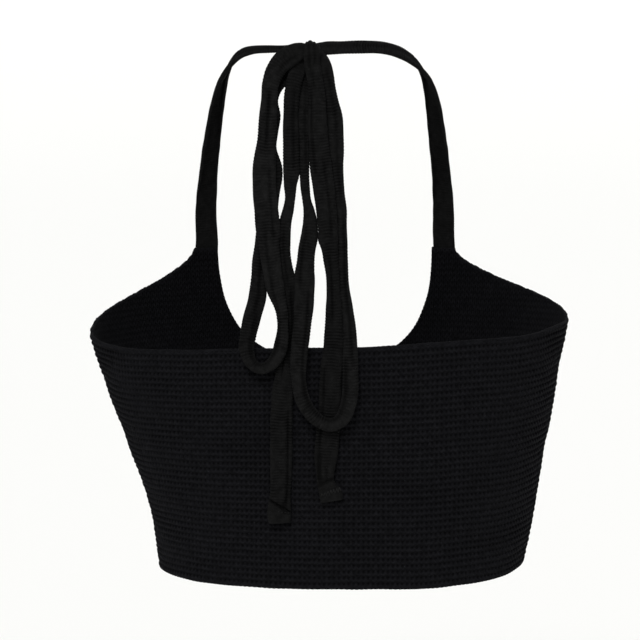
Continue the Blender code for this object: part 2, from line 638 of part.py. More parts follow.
def make_neck_strap(name, rows, hand, cutter, cloth, collection):
    """Strap from the top of a horn over the shoulder to the knot at the nape."""
    horn_arc = arc_at(HORN, hand * (HORN_INNER + HORN_OUTER) / 2, False)
    edge = torso_point(HORN, horn_arc, False)
    face = outward(edge, False)
    up = Vector((-hand * STRAP_ROOT_TURN_IN, STRAP_ROOT_LEAN, 1.0))
    up = (up - face * up.dot(face)).normalized()
    start = edge - face * CLOTH / 2 + up * SEAM_GAP * 2
    middles = [start, start + up * STRAP_ROOT_RUN]
    widths = list(STRAP_ROOT_WIDTHS)
    thicks = list(STRAP_ROOT_THICKS)
    looks = [tuple(face), tuple(face)]
    for row in rows:
        middles.append(Vector((hand * row.x, row.y, row.z)) * MILLIMETRE)
        widths.append(row.width * MILLIMETRE)
        thicks.append(row.thick * MILLIMETRE)
        looks.append((hand * row.face_x, row.face_y, row.face_z))
    piece = link(strip_mesh(name, middles, widths, thicks, looks), name, cloth, collection)
    trim(piece, cutter)
    return piece


def knot_mesh(name, clearance, grooved):
    """Pressed lump of the knot, grown by a clearance where it serves as the cutter."""
    lump = bmesh.new()
    bmesh.ops.create_uvsphere(lump, u_segments=KNOT_MERIDIANS, v_segments=KNOT_RINGS, radius=1.0)
    for vertex in lump.verts:
        way = vertex.co.copy()
        place = Vector((way[k] * (KNOT_HALF[k] + clearance) for k in range(3)))
        if grooved:
            off_line = place.x - KNOT_GROOVE_SLANT * place.z
            for line in KNOT_GROOVES:
                depth = KNOT_GROOVE_DEPTH * math.exp(-(((off_line - line) / KNOT_GROOVE_WIDTH) ** 2))
                place -= way * depth
        vertex.co = KNOT_MIDDLE + place
    bmesh.ops.recalc_face_normals(lump, faces=lump.faces)
    data = bpy.data.meshes.new(name)
    lump.to_mesh(data)
    lump.free()
    data.shade_smooth()
    return data


def trim(piece, cutter):
    """Cuts a strip back so that it stops at the knot's face."""
    cut = piece.modifiers.new("stop_at_knot", "BOOLEAN")
    cut.operation = "DIFFERENCE"
    cut.solver = "EXACT"
    cut.object = cutter


def main():
    for piece in list(bpy.data.objects):
        bpy.data.objects.remove(piece, do_unlink=True)
    garment = bpy.data.collections.new(COLLECTION)
    cutters = bpy.data.collections.new("cutters")
    bpy.context.scene.collection.children.link(garment)
    bpy.context.scene.collection.children.link(cutters)

    cutter = link(knot_mesh("knot_clearance", SEAM_GAP, False), "knot_clearance", TIE_JERSEY, cutters)
    cutter.hide_render = True
    cutter.display_type = "WIRE"

    make_back_panel(PANEL_KNIT, garment)
    make_front_panel(PANEL_KNIT, garment)
    make_neck_strap("strap_left", STRAP_LEFT, 1, cutter, TIE_JERSEY, garment)
    make_neck_strap("strap_right", STRAP_RIGHT, -1, cutter, TIE_JERSEY, garment)
    link(knot_mesh("neck_knot", 0.0, True), "neck_knot", TIE_JERSEY, garment)
    make_bow_strip("loop_left", LOOP_LEFT, cutter, TIE_JERSEY, garment)
    make_bow_strip("loop_right", LOOP_RIGHT, cutter, TIE_JERSEY, garment)
    make_bow_strip("tail_left", TAIL_LEFT, cutter, TIE_JERSEY, garment)
    make_bow_strip("tail_right", TAIL_RIGHT, cutter, TIE_JERSEY, garment)


main()
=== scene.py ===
"""Halter crop top in black knit: its cloth, ties, knot and sewing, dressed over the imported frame.

Metres, +Z up, the front faces -Y and +X is the wearer's left. The camera stands behind the garment, where
its long bow shows. The routes of the bow and the straps are those of the solids that the pieces stand for,
moved by 2 mm at most. The ties' widths differ from the solids' by less than 5 mm, most of all near the knot.
"""

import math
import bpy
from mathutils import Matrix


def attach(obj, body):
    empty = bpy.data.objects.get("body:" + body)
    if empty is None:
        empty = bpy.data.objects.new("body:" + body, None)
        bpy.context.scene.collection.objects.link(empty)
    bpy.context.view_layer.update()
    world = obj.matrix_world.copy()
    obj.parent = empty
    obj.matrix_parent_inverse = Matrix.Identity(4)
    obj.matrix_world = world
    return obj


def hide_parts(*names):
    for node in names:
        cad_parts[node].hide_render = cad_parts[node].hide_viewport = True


bl_info = {
    "name": "Knitted Halter Crop Top",
    "version": (1, 0, 0),
    "blender": (4, 5, 0),
    "location": "3D View > Sidebar > Halter Top",
    "description": "Knits the panels, ties the bow and sews the seams of a black halter crop top",
    "category": "Object",
}

from collections import namedtuple

import bmesh
import bpy
import numpy as np
from bpy.props import FloatProperty, FloatVectorProperty, IntProperty, PointerProperty
from mathutils import Vector

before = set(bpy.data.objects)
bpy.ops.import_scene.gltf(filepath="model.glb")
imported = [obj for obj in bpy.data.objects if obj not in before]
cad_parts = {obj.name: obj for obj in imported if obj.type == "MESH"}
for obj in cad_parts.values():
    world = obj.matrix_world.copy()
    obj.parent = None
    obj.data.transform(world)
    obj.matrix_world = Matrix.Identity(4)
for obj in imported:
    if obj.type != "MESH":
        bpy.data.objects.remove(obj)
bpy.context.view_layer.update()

MILLIMETRE = 0.001
TURN = 2 * math.pi

# The garment's edges and sections, as in the solids but for the left side and the back's top edge, which are
# moved by 2 mm at most, and the hem, which is up to 1.6 mm lower and at the right seam 3.8 mm higher
CLOTH = 0.002
HEM = -0.355
SCOOP = -0.228
HORN = -0.142
UNDERARM_LEFT = -0.1945
UNDERARM_RIGHT = -0.184
HORN_INNER = 0.0755
HORN_OUTER = 0.0915
SCOOP_ROUNDNESS = 2.6
ARMHOLE_HOLLOW = 1.8
ARMHOLE_RISE = 1.6
BUST_DEPTH = 0.017
BUST_APART = 0.055
BUST_HEIGHT = -0.243
BUST_WIDTH = 0.070
BUST_TALL = 0.055
SECTION_POWER = 2.2
SECTION_SAMPLES = 1441

TorsoLevel = namedtuple("TorsoLevel", "height left right widest back front")
TORSO = [
    TorsoLevel(-0.355, 0.1137, -0.1360, -0.090, 0.0000, -0.176),
    TorsoLevel(-0.320, 0.1187, -0.1430, -0.090, 0.0030, -0.178),
    TorsoLevel(-0.300, 0.1238, -0.1460, -0.089, 0.0060, -0.180),
    TorsoLevel(-0.275, 0.1329, -0.1500, -0.088, 0.0090, -0.182),
    TorsoLevel(-0.250, 0.1419, -0.1545, -0.087, 0.0120, -0.183),
    TorsoLevel(-0.220, 0.1524, -0.1592, -0.086, 0.0145, -0.183),
    TorsoLevel(-0.195, 0.1599, -0.1638, -0.085, 0.0150, -0.181),
    TorsoLevel(-0.170, 0.1648, -0.1680, -0.083, 0.0145, -0.175),
    TorsoLevel(-0.120, 0.1640, -0.1680, -0.078, 0.0115, -0.150),
    TorsoLevel(-0.060, 0.1600, -0.1620, -0.070, 0.0060, -0.110),
    TorsoLevel(0.010, 0.1550, -0.1550, -0.060, 0.0000, -0.070),
]

# Edges of the knit from the left side seam (0) to the right one (1), a little wavy as soft cloth is
EdgePoint = namedtuple("EdgePoint", "around height")
BACK_TOP = [
    EdgePoint(0.00, UNDERARM_LEFT),
    EdgePoint(0.06, -0.1954),
    EdgePoint(0.095, -0.1972),
    EdgePoint(0.15, -0.1984),
    EdgePoint(0.21, -0.1976),
    EdgePoint(0.275, -0.1964),
    EdgePoint(0.36, -0.1944),
    EdgePoint(0.46, -0.1932),
    EdgePoint(0.55, -0.1928),
    EdgePoint(0.64, -0.1911),
    EdgePoint(0.74, -0.1896),
    EdgePoint(0.81, -0.1894),
    EdgePoint(0.86, -0.1880),
    EdgePoint(0.91, -0.1852),
    EdgePoint(1.00, UNDERARM_RIGHT),
]
BACK_HEM = [
    EdgePoint(0.00, -0.3557),
    EdgePoint(0.10, -0.3555),
    EdgePoint(0.17, -0.3558),
    EdgePoint(0.26, -0.3559),
    EdgePoint(0.31, -0.3557),
    EdgePoint(0.42, -0.3557),
    EdgePoint(0.50, -0.3556),
    EdgePoint(0.57, -0.3557),
    EdgePoint(0.65, -0.3566),
    EdgePoint(0.735, -0.3560),
    EdgePoint(0.80, -0.3556),
    EdgePoint(0.864, -0.3543),
    EdgePoint(0.91, -0.3526),
    EdgePoint(1.00, -0.3512),
]
FRONT_HEM = [
    EdgePoint(0.00, -0.3557),
    EdgePoint(0.12, -0.3561),
    EdgePoint(0.24, -0.3551),
    EdgePoint(0.38, -0.3558),
    EdgePoint(0.52, -0.3550),
    EdgePoint(0.66, -0.3559),
    EdgePoint(0.80, -0.3550),
    EdgePoint(0.90, -0.3531),
    EdgePoint(1.00, -0.3512),
]

# The bow's strips, in millimetres: x and z of the middle, how far out from the back, width and thickness
BowRow = namedtuple("BowRow", "x z out width thick")
LOOP_LEFT = [
    BowRow(12.0, -0.8, 9.8, 8.6, 3.4),
    BowRow(16.6, -1.2, 10.3, 10.6, 3.6),
    BowRow(21.5, -3.2, 10.2, 12.2, 4.0),
    BowRow(26.9, -6.9, 9.8, 12.9, 4.2),
    BowRow(32.2, -13.6, 9.0, 11.4, 4.0),
    BowRow(35.2, -22.0, 8.5, 10.0, 3.8),
    BowRow(36.2, -33.0, 7.5, 9.2, 3.8),
    BowRow(37.0, -46.0, 7.3, 11.2, 3.6),
    BowRow(37.8, -58.0, 7.2, 11.2, 3.6),
    BowRow(39.1, -71.0, 7.2, 13.4, 3.4),
    BowRow(39.1, -87.0, 7.2, 14.6, 3.4),
    BowRow(37.9, -103.0, 7.2, 15.2, 3.4),
    BowRow(37.0, -113.5, 7.2, 15.2, 3.4),
    BowRow(36.2, -126.0, 7.2, 12.6, 3.4),
    BowRow(34.4, -140.5, 7.3, 11.4, 3.6),
    BowRow(31.9, -155.0, 7.5, 10.4, 3.8),
    BowRow(28.2, -168.0, 7.8, 6.8, 4.2),
    BowRow(27.4, -178.0, 8.0, 6.2, 4.4),
    BowRow(28.0, -187.0, 8.0, 7.8, 4.2),
    BowRow(30.4, -196.2, 8.0, 8.0, 4.0),
    BowRow(35.2, -203.2, 8.0, 6.6, 3.8),
    BowRow(41.5, -206.0, 8.0, 5.8, 3.6),
    BowRow(47.6, -202.8, 7.2, 6.8, 3.8),
    BowRow(50.9, -194.2, 5.6, 8.8, 4.0),
    BowRow(49.8, -184.0, 3.6, 10.0, 3.8),
    BowRow(47.4, -173.0, 2.9, 10.2, 3.8),
    BowRow(44.1, -161.0, 2.6, 10.6, 3.6),
    BowRow(42.9, -148.5, 2.4, 10.0, 3.6),
    BowRow(41.7, -137.0, 2.4, 10.2, 3.6),
    BowRow(39.6, -123.0, 2.4, 10.4, 3.6),
    BowRow(37.9, -113.0, 2.4, 11.8, 3.4),
    BowRow(36.6, -96.0, 2.4, 12.4, 3.4),
    BowRow(34.9, -77.5, 2.4, 13.6, 3.4),
    BowRow(36.7, -62.0, 2.4, 9.4, 3.4),
    BowRow(35.4, -52.0, 2.4, 9.6, 3.4),
    BowRow(34.3, -43.0, 2.4, 9.8, 3.4),
    BowRow(34.2, -33.0, 2.4, 6.8, 3.4),
    BowRow(31.4, -25.5, 2.6, 6.0, 3.2),
    BowRow(25.4, -16.0, 3.0, 10.2, 3.2),
    BowRow(20.6, -10.0, 3.6, 10.0, 3.2),
    BowRow(16.4, -6.0, 4.0, 8.4, 3.0),
    BowRow(12.4, -3.0, 4.6, 6.0, 2.8),
]
TAIL_LEFT = [
    BowRow(12.0, -2.6, 6.8, 6.4, 2.8),
    BowRow(15.0, -7.4, 6.8, 8.2, 3.0),
    BowRow(17.8, -13.5, 6.8, 9.2, 3.2),
    BowRow(20.0, -21.0, 6.6, 9.4, 3.4),
    BowRow(21.5, -29.5, 6.0, 9.2, 3.4),
    BowRow(22.2, -42.0, 5.2, 8.4, 3.6),
    BowRow(22.1, -58.0, 4.8, 9.6, 3.6),
    BowRow(21.9, -71.0, 4.6, 9.8, 3.6),
    BowRow(21.8, -79.5, 4.2, 9.8, 3.8),
    BowRow(22.5, -87.0, 3.6, 7.2, 4.2),
    BowRow(22.6, -95.5, 3.2, 5.8, 4.4),
    BowRow(23.7, -102.5, 3.2, 6.2, 4.4),
    BowRow(25.5, -110.0, 3.2, 7.0, 4.2),
    BowRow(26.5, -119.5, 3.0, 7.6, 4.2),
    BowRow(26.2, -130.5, 3.0, 6.6, 4.2),
    BowRow(25.0, -141.0, 3.0, 7.4, 4.2),
    BowRow(23.3, -150.0, 3.0, 8.4, 4.2),
    BowRow(22.9, -161.5, 2.6, 6.2, 4.0),
    BowRow(22.2, -171.5, 2.4, 6.6, 3.8),
    BowRow(22.5, -182.5, 2.4, 7.8, 3.6),
    BowRow(24.2, -194.5, 2.6, 9.2, 3.6),
    BowRow(26.1, -209.0, 2.6, 11.2, 3.6),
    BowRow(27.7, -224.0, 2.4, 12.8, 3.4),
    BowRow(28.4, -240.0, 2.4, 13.6, 3.4),
    BowRow(28.6, -257.0, 2.4, 13.6, 3.4),
    BowRow(28.8, -274.0, 2.4, 13.2, 3.4),
    BowRow(29.2, -288.0, 2.5, 12.8, 3.6),
    BowRow(29.8, -296.5, 2.8, 13.6, 4.2),
    BowRow(30.1, -303.0, 3.0, 14.8, 4.8),
    BowRow(29.7, -309.6, 2.9, 13.8, 4.2),
]
LOOP_RIGHT = [
    BowRow(9.4, -3.0, 4.4, 6.4, 3.0),
    BowRow(10.8, -9.0, 3.2, 8.0, 3.0),
    BowRow(13.0, -18.5, 2.8, 8.6, 3.2),
    BowRow(14.2, -29.5, 2.6, 8.0, 3.2),
    BowRow(14.2, -42.0, 2.4, 7.4, 3.2),
    BowRow(13.9, -55.0, 2.2, 6.6, 3.4),
    BowRow(13.6, -68.0, 2.2, 6.6, 3.6),
    BowRow(13.4, -79.0, 2.4, 5.6, 4.0),
    BowRow(12.9, -89.0, 2.6, 4.8, 4.2),
    BowRow(11.9, -97.0, 2.6, 4.8, 4.2),
    BowRow(10.4, -104.0, 2.5, 6.4, 4.0),
    BowRow(9.7, -111.0, 2.4, 8.4, 3.8),
    BowRow(10.1, -120.0, 2.4, 10.4, 3.6),
    BowRow(11.8, -129.0, 2.5, 10.0, 3.6),
    BowRow(12.8, -139.0, 3.2, 11.0, 3.6),
    BowRow(13.3, -145.5, 4.0, 12.2, 3.4),
    BowRow(13.2, -151.5, 5.0, 12.2, 3.4),
    BowRow(13.6, -161.5, 6.6, 12.0, 3.4),
    BowRow(14.3, -173.0, 7.4, 10.8, 3.6),
    BowRow(15.5, -184.0, 7.6, 10.4, 3.8),
    BowRow(16.7, -194.5, 7.8, 10.2, 3.8),
    BowRow(17.3, -206.0, 7.8, 9.2, 3.8),
    BowRow(16.6, -217.0, 7.8, 8.4, 3.8),
    BowRow(14.2, -227.0, 7.8, 8.4, 3.8),
    BowRow(9.8, -234.5, 7.9, 8.4, 3.8),
    BowRow(3.4, -240.4, 8.0, 7.8, 3.8),
    BowRow(-3.9, -242.8, 8.0, 7.8, 3.8),
    BowRow(-10.2, -239.8, 7.8, 8.2, 3.8),
    BowRow(-14.2, -232.4, 7.4, 9.0, 3.8),
    BowRow(-16.2, -223.0, 6.4, 9.4, 3.8),
    BowRow(-16.5, -210.0, 4.6, 9.6, 3.8),
    BowRow(-16.0, -195.5, 3.0, 9.4, 3.8),
    BowRow(-14.9, -181.0, 2.6, 9.6, 3.8),
    BowRow(-13.4, -168.0, 2.5, 9.0, 3.8),
    BowRow(-11.9, -156.0, 2.5, 7.4, 4.0),
    BowRow(-11.2, -145.0, 2.5, 6.8, 4.0),
    BowRow(-11.1, -129.0, 2.5, 6.4, 4.0),
    BowRow(-10.7, -116.0, 2.5, 6.0, 4.0),
    BowRow(-10.4, -104.5, 2.5, 6.4, 4.0),
    BowRow(-9.3, -93.5, 2.5, 6.2, 4.0),
    BowRow(-8.1, -81.0, 2.5, 6.8, 3.8),
    BowRow(-7.1, -68.0, 2.5, 9.2, 3.6),
    BowRow(-6.7, -55.0, 2.6, 9.6, 3.6),
    BowRow(-6.1, -44.0, 2.8, 9.6, 3.6),
    BowRow(-4.1, -34.0, 3.2, 9.0, 3.8),
    BowRow(-2.5, -25.0, 3.8, 7.7, 3.8),
    BowRow(-1.2, -17.5, 4.8, 8.2, 3.6),
    BowRow(0.4, -11.0, 6.0, 8.2, 3.4),
    BowRow(2.6, -6.0, 6.8, 7.6, 3.2),
    BowRow(5.6, -2.0, 7.0, 6.4, 3.2),
]
TAIL_RIGHT = [
    BowRow(9.0, -2.6, 9.6, 8.0, 3.0),
    BowRow(8.6, -7.4, 10.6, 8.6, 3.0),
    BowRow(7.6, -13.5, 10.6, 9.0, 3.2),
    BowRow(6.2, -21.0, 9.6, 9.2, 3.4),
    BowRow(5.2, -29.5, 8.4, 9.8, 3.6),
    BowRow(4.9, -42.0, 7.2, 10.4, 3.6),
    BowRow(4.5, -55.0, 6.8, 11.3, 3.4),
    BowRow(3.65, -66.0, 6.6, 12.7, 3.4),
    BowRow(2.55, -77.5, 6.5, 13.5, 3.4),
    BowRow(1.1, -87.0, 6.5, 13.0, 3.4),
    BowRow(-0.1, -97.0, 6.5, 12.5, 3.4),
    BowRow(-1.1, -106.5, 6.5, 12.4, 3.4),
    BowRow(-1.8, -116.0, 6.5, 11.8, 3.4),
    BowRow(-2.0, -122.0, 6.5, 12.2, 3.4),
    BowRow(-2.8, -127.0, 6.5, 9.8, 3.6),
    BowRow(-3.6, -135.5, 6.5, 8.6, 4.0),
    BowRow(-4.8, -145.0, 6.5, 7.6, 4.2),
    BowRow(-5.2, -156.0, 6.5, 7.8, 4.2),
    BowRow(-5.5, -168.0, 6.5, 9.2, 4.0),
    BowRow(-5.5, -180.0, 6.2, 10.8, 3.8),
    BowRow(-5.2, -191.0, 5.2, 11.6, 3.6),
    BowRow(-4.3, -202.5, 3.4, 12.8, 3.4),
    BowRow(-3.6, -214.0, 2.5, 13.4, 3.4),
    BowRow(-3.3, -227.0, 2.4, 13.6, 3.4),
    BowRow(-2.2, -243.5, 2.4, 14.4, 3.4),
    BowRow(-0.9, -255.0, 2.4, 15.4, 3.4),
    BowRow(-0.4, -264.0, 2.5, 14.4, 3.6),
    BowRow(-0.2, -271.5, 2.7, 12.2, 4.0),
    BowRow(-0.1, -278.0, 2.8, 10.4, 4.4),
    BowRow(-0.5, -282.0, 2.8, 10.2, 4.4),
    BowRow(-1.9, -286.4, 2.7, 12.0, 4.0),
    BowRow(-3.8, -290.8, 2.6, 14.4, 3.6),
    BowRow(-4.5, -294.6, 2.6, 13.6, 3.4),
]

# The neck straps, in millimetres, x counted out towards the strap's own side, and the way the face looks
StrapRow = namedtuple("StrapRow", "x y z width thick face_x face_y face_z")
STRAP_LEFT = [
    StrapRow(83.0, -142.8, -119.5, 14.6, 3.0, 0.34, -0.82, 0.46),
    StrapRow(81.6, -131.0, -99.0, 13.5, 3.2, 0.35, -0.80, 0.48),
    StrapRow(79.0, -115.0, -77.0, 12.0, 3.4, 0.35, -0.75, 0.56),
    StrapRow(75.5, -96.0, -54.5, 11.0, 3.4, 0.42, -0.65, 0.63),
    StrapRow(71.5, -77.0, -34.0, 10.0, 3.4, 0.55, -0.40, 0.73),
    StrapRow(67.0, -58.5, -18.8, 8.5, 3.4, 0.68, -0.10, 0.72),
    StrapRow(62.0, -46.0, -10.0, 6.5, 3.6, 0.72, 0.30, 0.62),
    StrapRow(55.5, -32.5, -3.7, 6.0, 3.6, 0.70, 0.60, 0.38),
    StrapRow(47.0, -19.5, -0.8, 4.7, 3.6, 0.50, 0.84, 0.20),
    StrapRow(36.0, -9.0, 0.0, 3.8, 3.6, 0.25, 0.96, 0.10),
    StrapRow(25.0, -2.4, 0.2, 4.2, 3.4, 0.16, 0.98, 0.10),
    StrapRow(16.6, 1.4, 0.6, 5.0, 3.2, 0.06, 0.99, 0.10),
    StrapRow(10.6, 3.6, 0.6, 5.0, 3.0, 0.00, 1.00, 0.10),
]
STRAP_RIGHT = [
    StrapRow(83.0, -142.8, -119.5, 14.6, 3.0, 0.34, -0.82, 0.46),
    StrapRow(81.6, -131.0, -99.0, 13.5, 3.2, 0.35, -0.80, 0.48),
    StrapRow(79.0, -115.0, -77.0, 12.5, 3.2, 0.35, -0.75, 0.56),
    StrapRow(75.8, -96.0, -54.5, 12.0, 3.2, 0.42, -0.65, 0.63),
    StrapRow(72.2, -78.0, -34.0, 11.0, 3.2, 0.55, -0.40, 0.73),
    StrapRow(67.4, -61.0, -19.6, 9.5, 3.4, 0.68, -0.10, 0.72),
    StrapRow(61.5, -46.0, -11.2, 8.0, 3.4, 0.72, 0.30, 0.62),
    StrapRow(55.0, -32.5, -6.0, 7.2, 3.4, 0.66, 0.64, 0.38),
    StrapRow(46.8, -19.8, -1.7, 7.2, 3.4, 0.48, 0.85, 0.20),
    StrapRow(36.8, -9.6, 0.9, 6.9, 3.4, 0.25, 0.96, 0.10),
    StrapRow(23.5, -1.8, 1.5, 7.7, 3.2, 0.12, 0.99, 0.10),
    StrapRow(10.8, 1.5, 1.2, 7.5, 3.2, 0.03, 0.99, 0.10),
    StrapRow(0.6, 2.0, 0.8, 7.4, 3.2, 0.00, 1.00, 0.10),
    StrapRow(-7.2, 3.4, 0.2, 6.0, 3.0, 0.00, 1.00, 0.10),
]

# The turn of the right tie that goes over the knot from behind and comes down into the right tail
KNOT_WRAP = [
    StrapRow(10.4, 3.6, 1.6, 4.0, 3.0, 0.00, -0.60, 0.80),
    StrapRow(10.0, 5.0, 3.8, 4.0, 3.2, 0.00, -0.25, 0.97),
    StrapRow(9.6, 8.6, 4.4, 4.6, 3.4, -0.05, 0.25, 0.97),
    StrapRow(9.2, 12.0, 2.8, 7.2, 3.2, -0.08, 0.78, 0.62),
    StrapRow(8.6, 13.6, -0.6, 9.2, 2.8, -0.10, 0.99, 0.10),
    StrapRow(8.5, 13.6, -5.4, 9.4, 2.8, -0.10, 0.99, -0.06),
    StrapRow(8.2, 12.9, -10.4, 9.2, 2.6, -0.10, 0.99, -0.08),
    StrapRow(7.5, 11.6, -15.6, 8.6, 2.4, -0.10, 0.99, -0.08),
]

# Where a strap leaves its horn
STRAP_ROOT_RUN = 0.006
STRAP_ROOT_WIDTHS = (HORN_OUTER - HORN_INNER, 0.0155)
STRAP_ROOT_THICKS = (0.0026, 0.0028)
STRAP_ROOT_LEAN = 0.45
STRAP_ROOT_TURN_IN = 0.05
STRAP_LAP = 0.0035

# The knot's core, under the turn that goes over it
KNOT_MIDDLE = Vector((0.0094, 0.0070, -0.0016))
KNOT_HALF = Vector((0.0076, 0.0060, 0.0064))

# Wales run straight up from the hem and are counted from this line
MIDDLE_LINE = -0.006

# Chart of the torso, which the panels' points are read from
CHART_STEP = 0.001
CHART_TOP = -0.136
CHART_COLUMNS = 301

# Mesh of the knit: vertices for each stitch outside and inside, how near an edge a vertex is moved onto it
# as a share of a cell, and how many vertices are set against the outline at a time
FINE_PER_STITCH = 4
INSIDE_PER_STITCH = 1.5
NEAR_EDGE = 0.3
CHUNK = 2000

# Outlines: points of a hem or a top edge, points of a curve, and the step along a side seam
EDGE_POINTS = 81
CURVE_POINTS = 40
OUTLINE_STEP = 0.005

# Purl rows, in stitches or rows: how far a ridge swings within a stitch, and how columns and rows wander
ROW_SWING = 0.12
WALE_WANDER = 0.12
COURSE_WANDER = 0.09

# Shape of a purl row: how full its ridge is, its parts as shares of its relief, how uneven its beads are,
# the columns and rows after which their sizes repeat, and the seed that the sizes are drawn from
RIDGE_ROUNDNESS = 0.7
BEAD_HEIGHT = 0.28
POST_HEIGHT = 0.22
HOLE_DEPTH = 0.65
UNEVEN = 0.34
BEADS_REPEAT = (97, 89)
SEED = 11

# Bound edge: rings for each stitch, points round it, its sizes in radii, how much of a row's pattern it
# shows to each side, and how far it strays
CHAIN_RINGS = 5
CHAIN_POINTS = 8
CHAIN_INSET = 0.8
CHAIN_THIN = 0.84
CHAIN_SWELL = 0.24
CHAIN_HIGH = 1.2
CHAIN_ROW = 0.35
CHAIN_STRAYS = 0.22 * MILLIMETRE

# Soft creases, in millimetres from the middle line and above the hem, each a little curved over its length.
# Troughs are above 0 deep and ridges below
CREASE_CURVE = 0.35
Crease = namedtuple("Crease", "arc height length wide angle deep")
BACK_CREASES = [
    Crease(168, 148, 62, 9, -38, 1.3),
    Crease(150, 132, 48, 8, -30, -0.8),
    Crease(176, 96, 44, 8, -12, 0.8),
    Crease(140, 34, 52, 7, 8, 0.7),
    Crease(-176, 152, 66, 9, 34, 1.2),
    Crease(-156, 138, 50, 8, 27, -0.8),
    Crease(-178, 84, 40, 7, 10, 0.7),
    Crease(-120, 26, 58, 8, -6, 0.7),
    Crease(-60, 64, 70, 11, 4, 0.5),
    Crease(52, 92, 60, 12, -5, 0.5),
]
FRONT_CREASES = [
    Crease(118, 176, 54, 8, 62, 1.2),
    Crease(132, 150, 46, 7, 48, -0.8),
    Crease(-116, 174, 56, 8, -60, 1.2),
    Crease(-136, 154, 44, 7, -46, -0.9),
    Crease(172, 118, 52, 9, 22, 1.1),
    Crease(-170, 112, 56, 9, -20, 1.1),
    Crease(64, 70, 66, 9, 10, 0.9),
    Crease(-70, 66, 60, 9, -12, 0.8),
    Crease(150, 40, 48, 8, -8, 0.7),
    Crease(-146, 34, 52, 8, 7, 0.8),
    Crease(8, 54, 50, 10, 2, 0.5),
    Crease(4, 108, 40, 9, -3, -0.6),
]

# Lengthwise folds of the ties: from one row of the route's table to another, then how far to the side of the
# strip's middle the fold lies, and its width and depth, in millimetres. A strap's rows count from its horn,
# where two places come before its table
Fold = namedtuple("Fold", "first last side wide deep")
FOLDS = {
    "loop_left": [
        Fold(5.0, 8.7, 0.1, 1.1, 1.5),
        Fold(1.0, 4.0, -2.2, 1.0, 0.9),
        Fold(9.0, 13.0, -3.2, 0.8, 0.9),
        Fold(12.0, 16.6, 1.8, 0.9, 1.0),
        Fold(16.4, 25.6, 2.7, 1.4, 1.6),
        Fold(25.0, 30.0, 0.6, 1.2, 1.4),
        Fold(32.0, 39.0, 0.6, 1.2, 0.9),
    ],
    "loop_right": [
        Fold(2.0, 7.0, -1.4, 0.8, 0.8),
        Fold(11.0, 16.4, 2.6, 0.9, 1.1),
        Fold(16.0, 23.0, -2.6, 0.9, 1.2),
        Fold(21.6, 31.0, -3.1, 1.7, 1.5),
        Fold(30.4, 38.0, 1.4, 1.0, 1.3),
        Fold(38.0, 47.0, 0.6, 1.0, 0.9),
    ],
    "tail_left": [
        Fold(3.0, 8.0, -1.6, 1.0, 1.0),
        Fold(12.0, 16.4, 0.6, 0.8, 0.9),
        Fold(16.0, 20.6, -1.0, 0.8, 1.1),
        Fold(18.0, 21.6, 1.8, 0.7, 0.9),
        Fold(22.4, 27.2, -4.2, 0.7, 1.6),
        Fold(26.4, 28.2, -3.6, 1.6, 1.4),
    ],
    "tail_right": [
        Fold(0.0, 4.0, 1.0, 0.9, 0.9),
        Fold(3.0, 8.6, 3.8, 0.9, 1.1),
        Fold(7.0, 13.0, -2.2, 0.9, 0.9),
        Fold(14.0, 19.0, 0.8, 0.9, 1.0),
        Fold(21.0, 25.8, 4.4, 0.8, 1.0),
        Fold(25.6, 29.2, 4.0, 1.3, 2.0),
        Fold(26.6, 29.6, -1.0, 1.0, 0.8),
    ],
    "strap_left": [Fold(4.0, 11.0, 0.4, 1.0, 0.8), Fold(10.0, 14.5, -0.2, 0.9, 0.6)],
    "strap_right": [Fold(3.0, 9.0, -1.0, 1.1, 0.9), Fold(8.5, 15.0, 0.8, 1.0, 0.6)],
    "knot_wrap": [Fold(0.6, 6.8, 1.8, 0.8, 1.1), Fold(0.8, 6.6, -1.8, 0.8, 0.9)],
}

# Mesh of a tie: rings for each of its rows, and points across its outer face and across its inner one
RINGS_PER_ROW = 4
OUTER_POINTS = 21
INNER_POINTS = 9

# Shape of a tie: its tightest curl, its least flat middle, how far it is laid to one side, the room between
# its curled edges, how high and how short the step at a turned hem is, and how long that hem is
TIGHTEST_CURL = 0.4 * MILLIMETRE
LEAST_FLAT = 0.2 * MILLIMETRE
LAID_ASIDE = 0.9 * MILLIMETRE
CURL_ROOM = 0.4 * MILLIMETRE
HEM_STEP = 0.9 * MILLIMETRE
HEM_STEP_RUN = 0.6 * MILLIMETRE
TURNED_HEM = 7.5 * MILLIMETRE

# How much a tie's fullness varies along it, and the depth in millimetres at which a fold's painted shade is
# darkest
FULLNESS_VARIES = 0.25
DARK_FOLD = 1.6

# Radius of a bend in metres at which a tie's rows are pressed half flat
BEND_REACH = 0.016

# Length at each end of a tie along which its rows are pulled or pressed flat, and how much of them is left
PULLED_REACH = 0.034
PULLED_SHARE = 0.2

# Rows of a tie: their strength, how much it varies, its least and most, and how far they sway, in rows
ROW_STRENGTH = 0.60
STRENGTH_VARIES = (0.30, 0.25)
STRENGTH_LIMITS = (0.1, 1.1)
ROW_SWAYS = (0.16, 0.10)

# Angle in degrees past which the faces of a tie meet in a sharp line
TIE_CORNER = 60

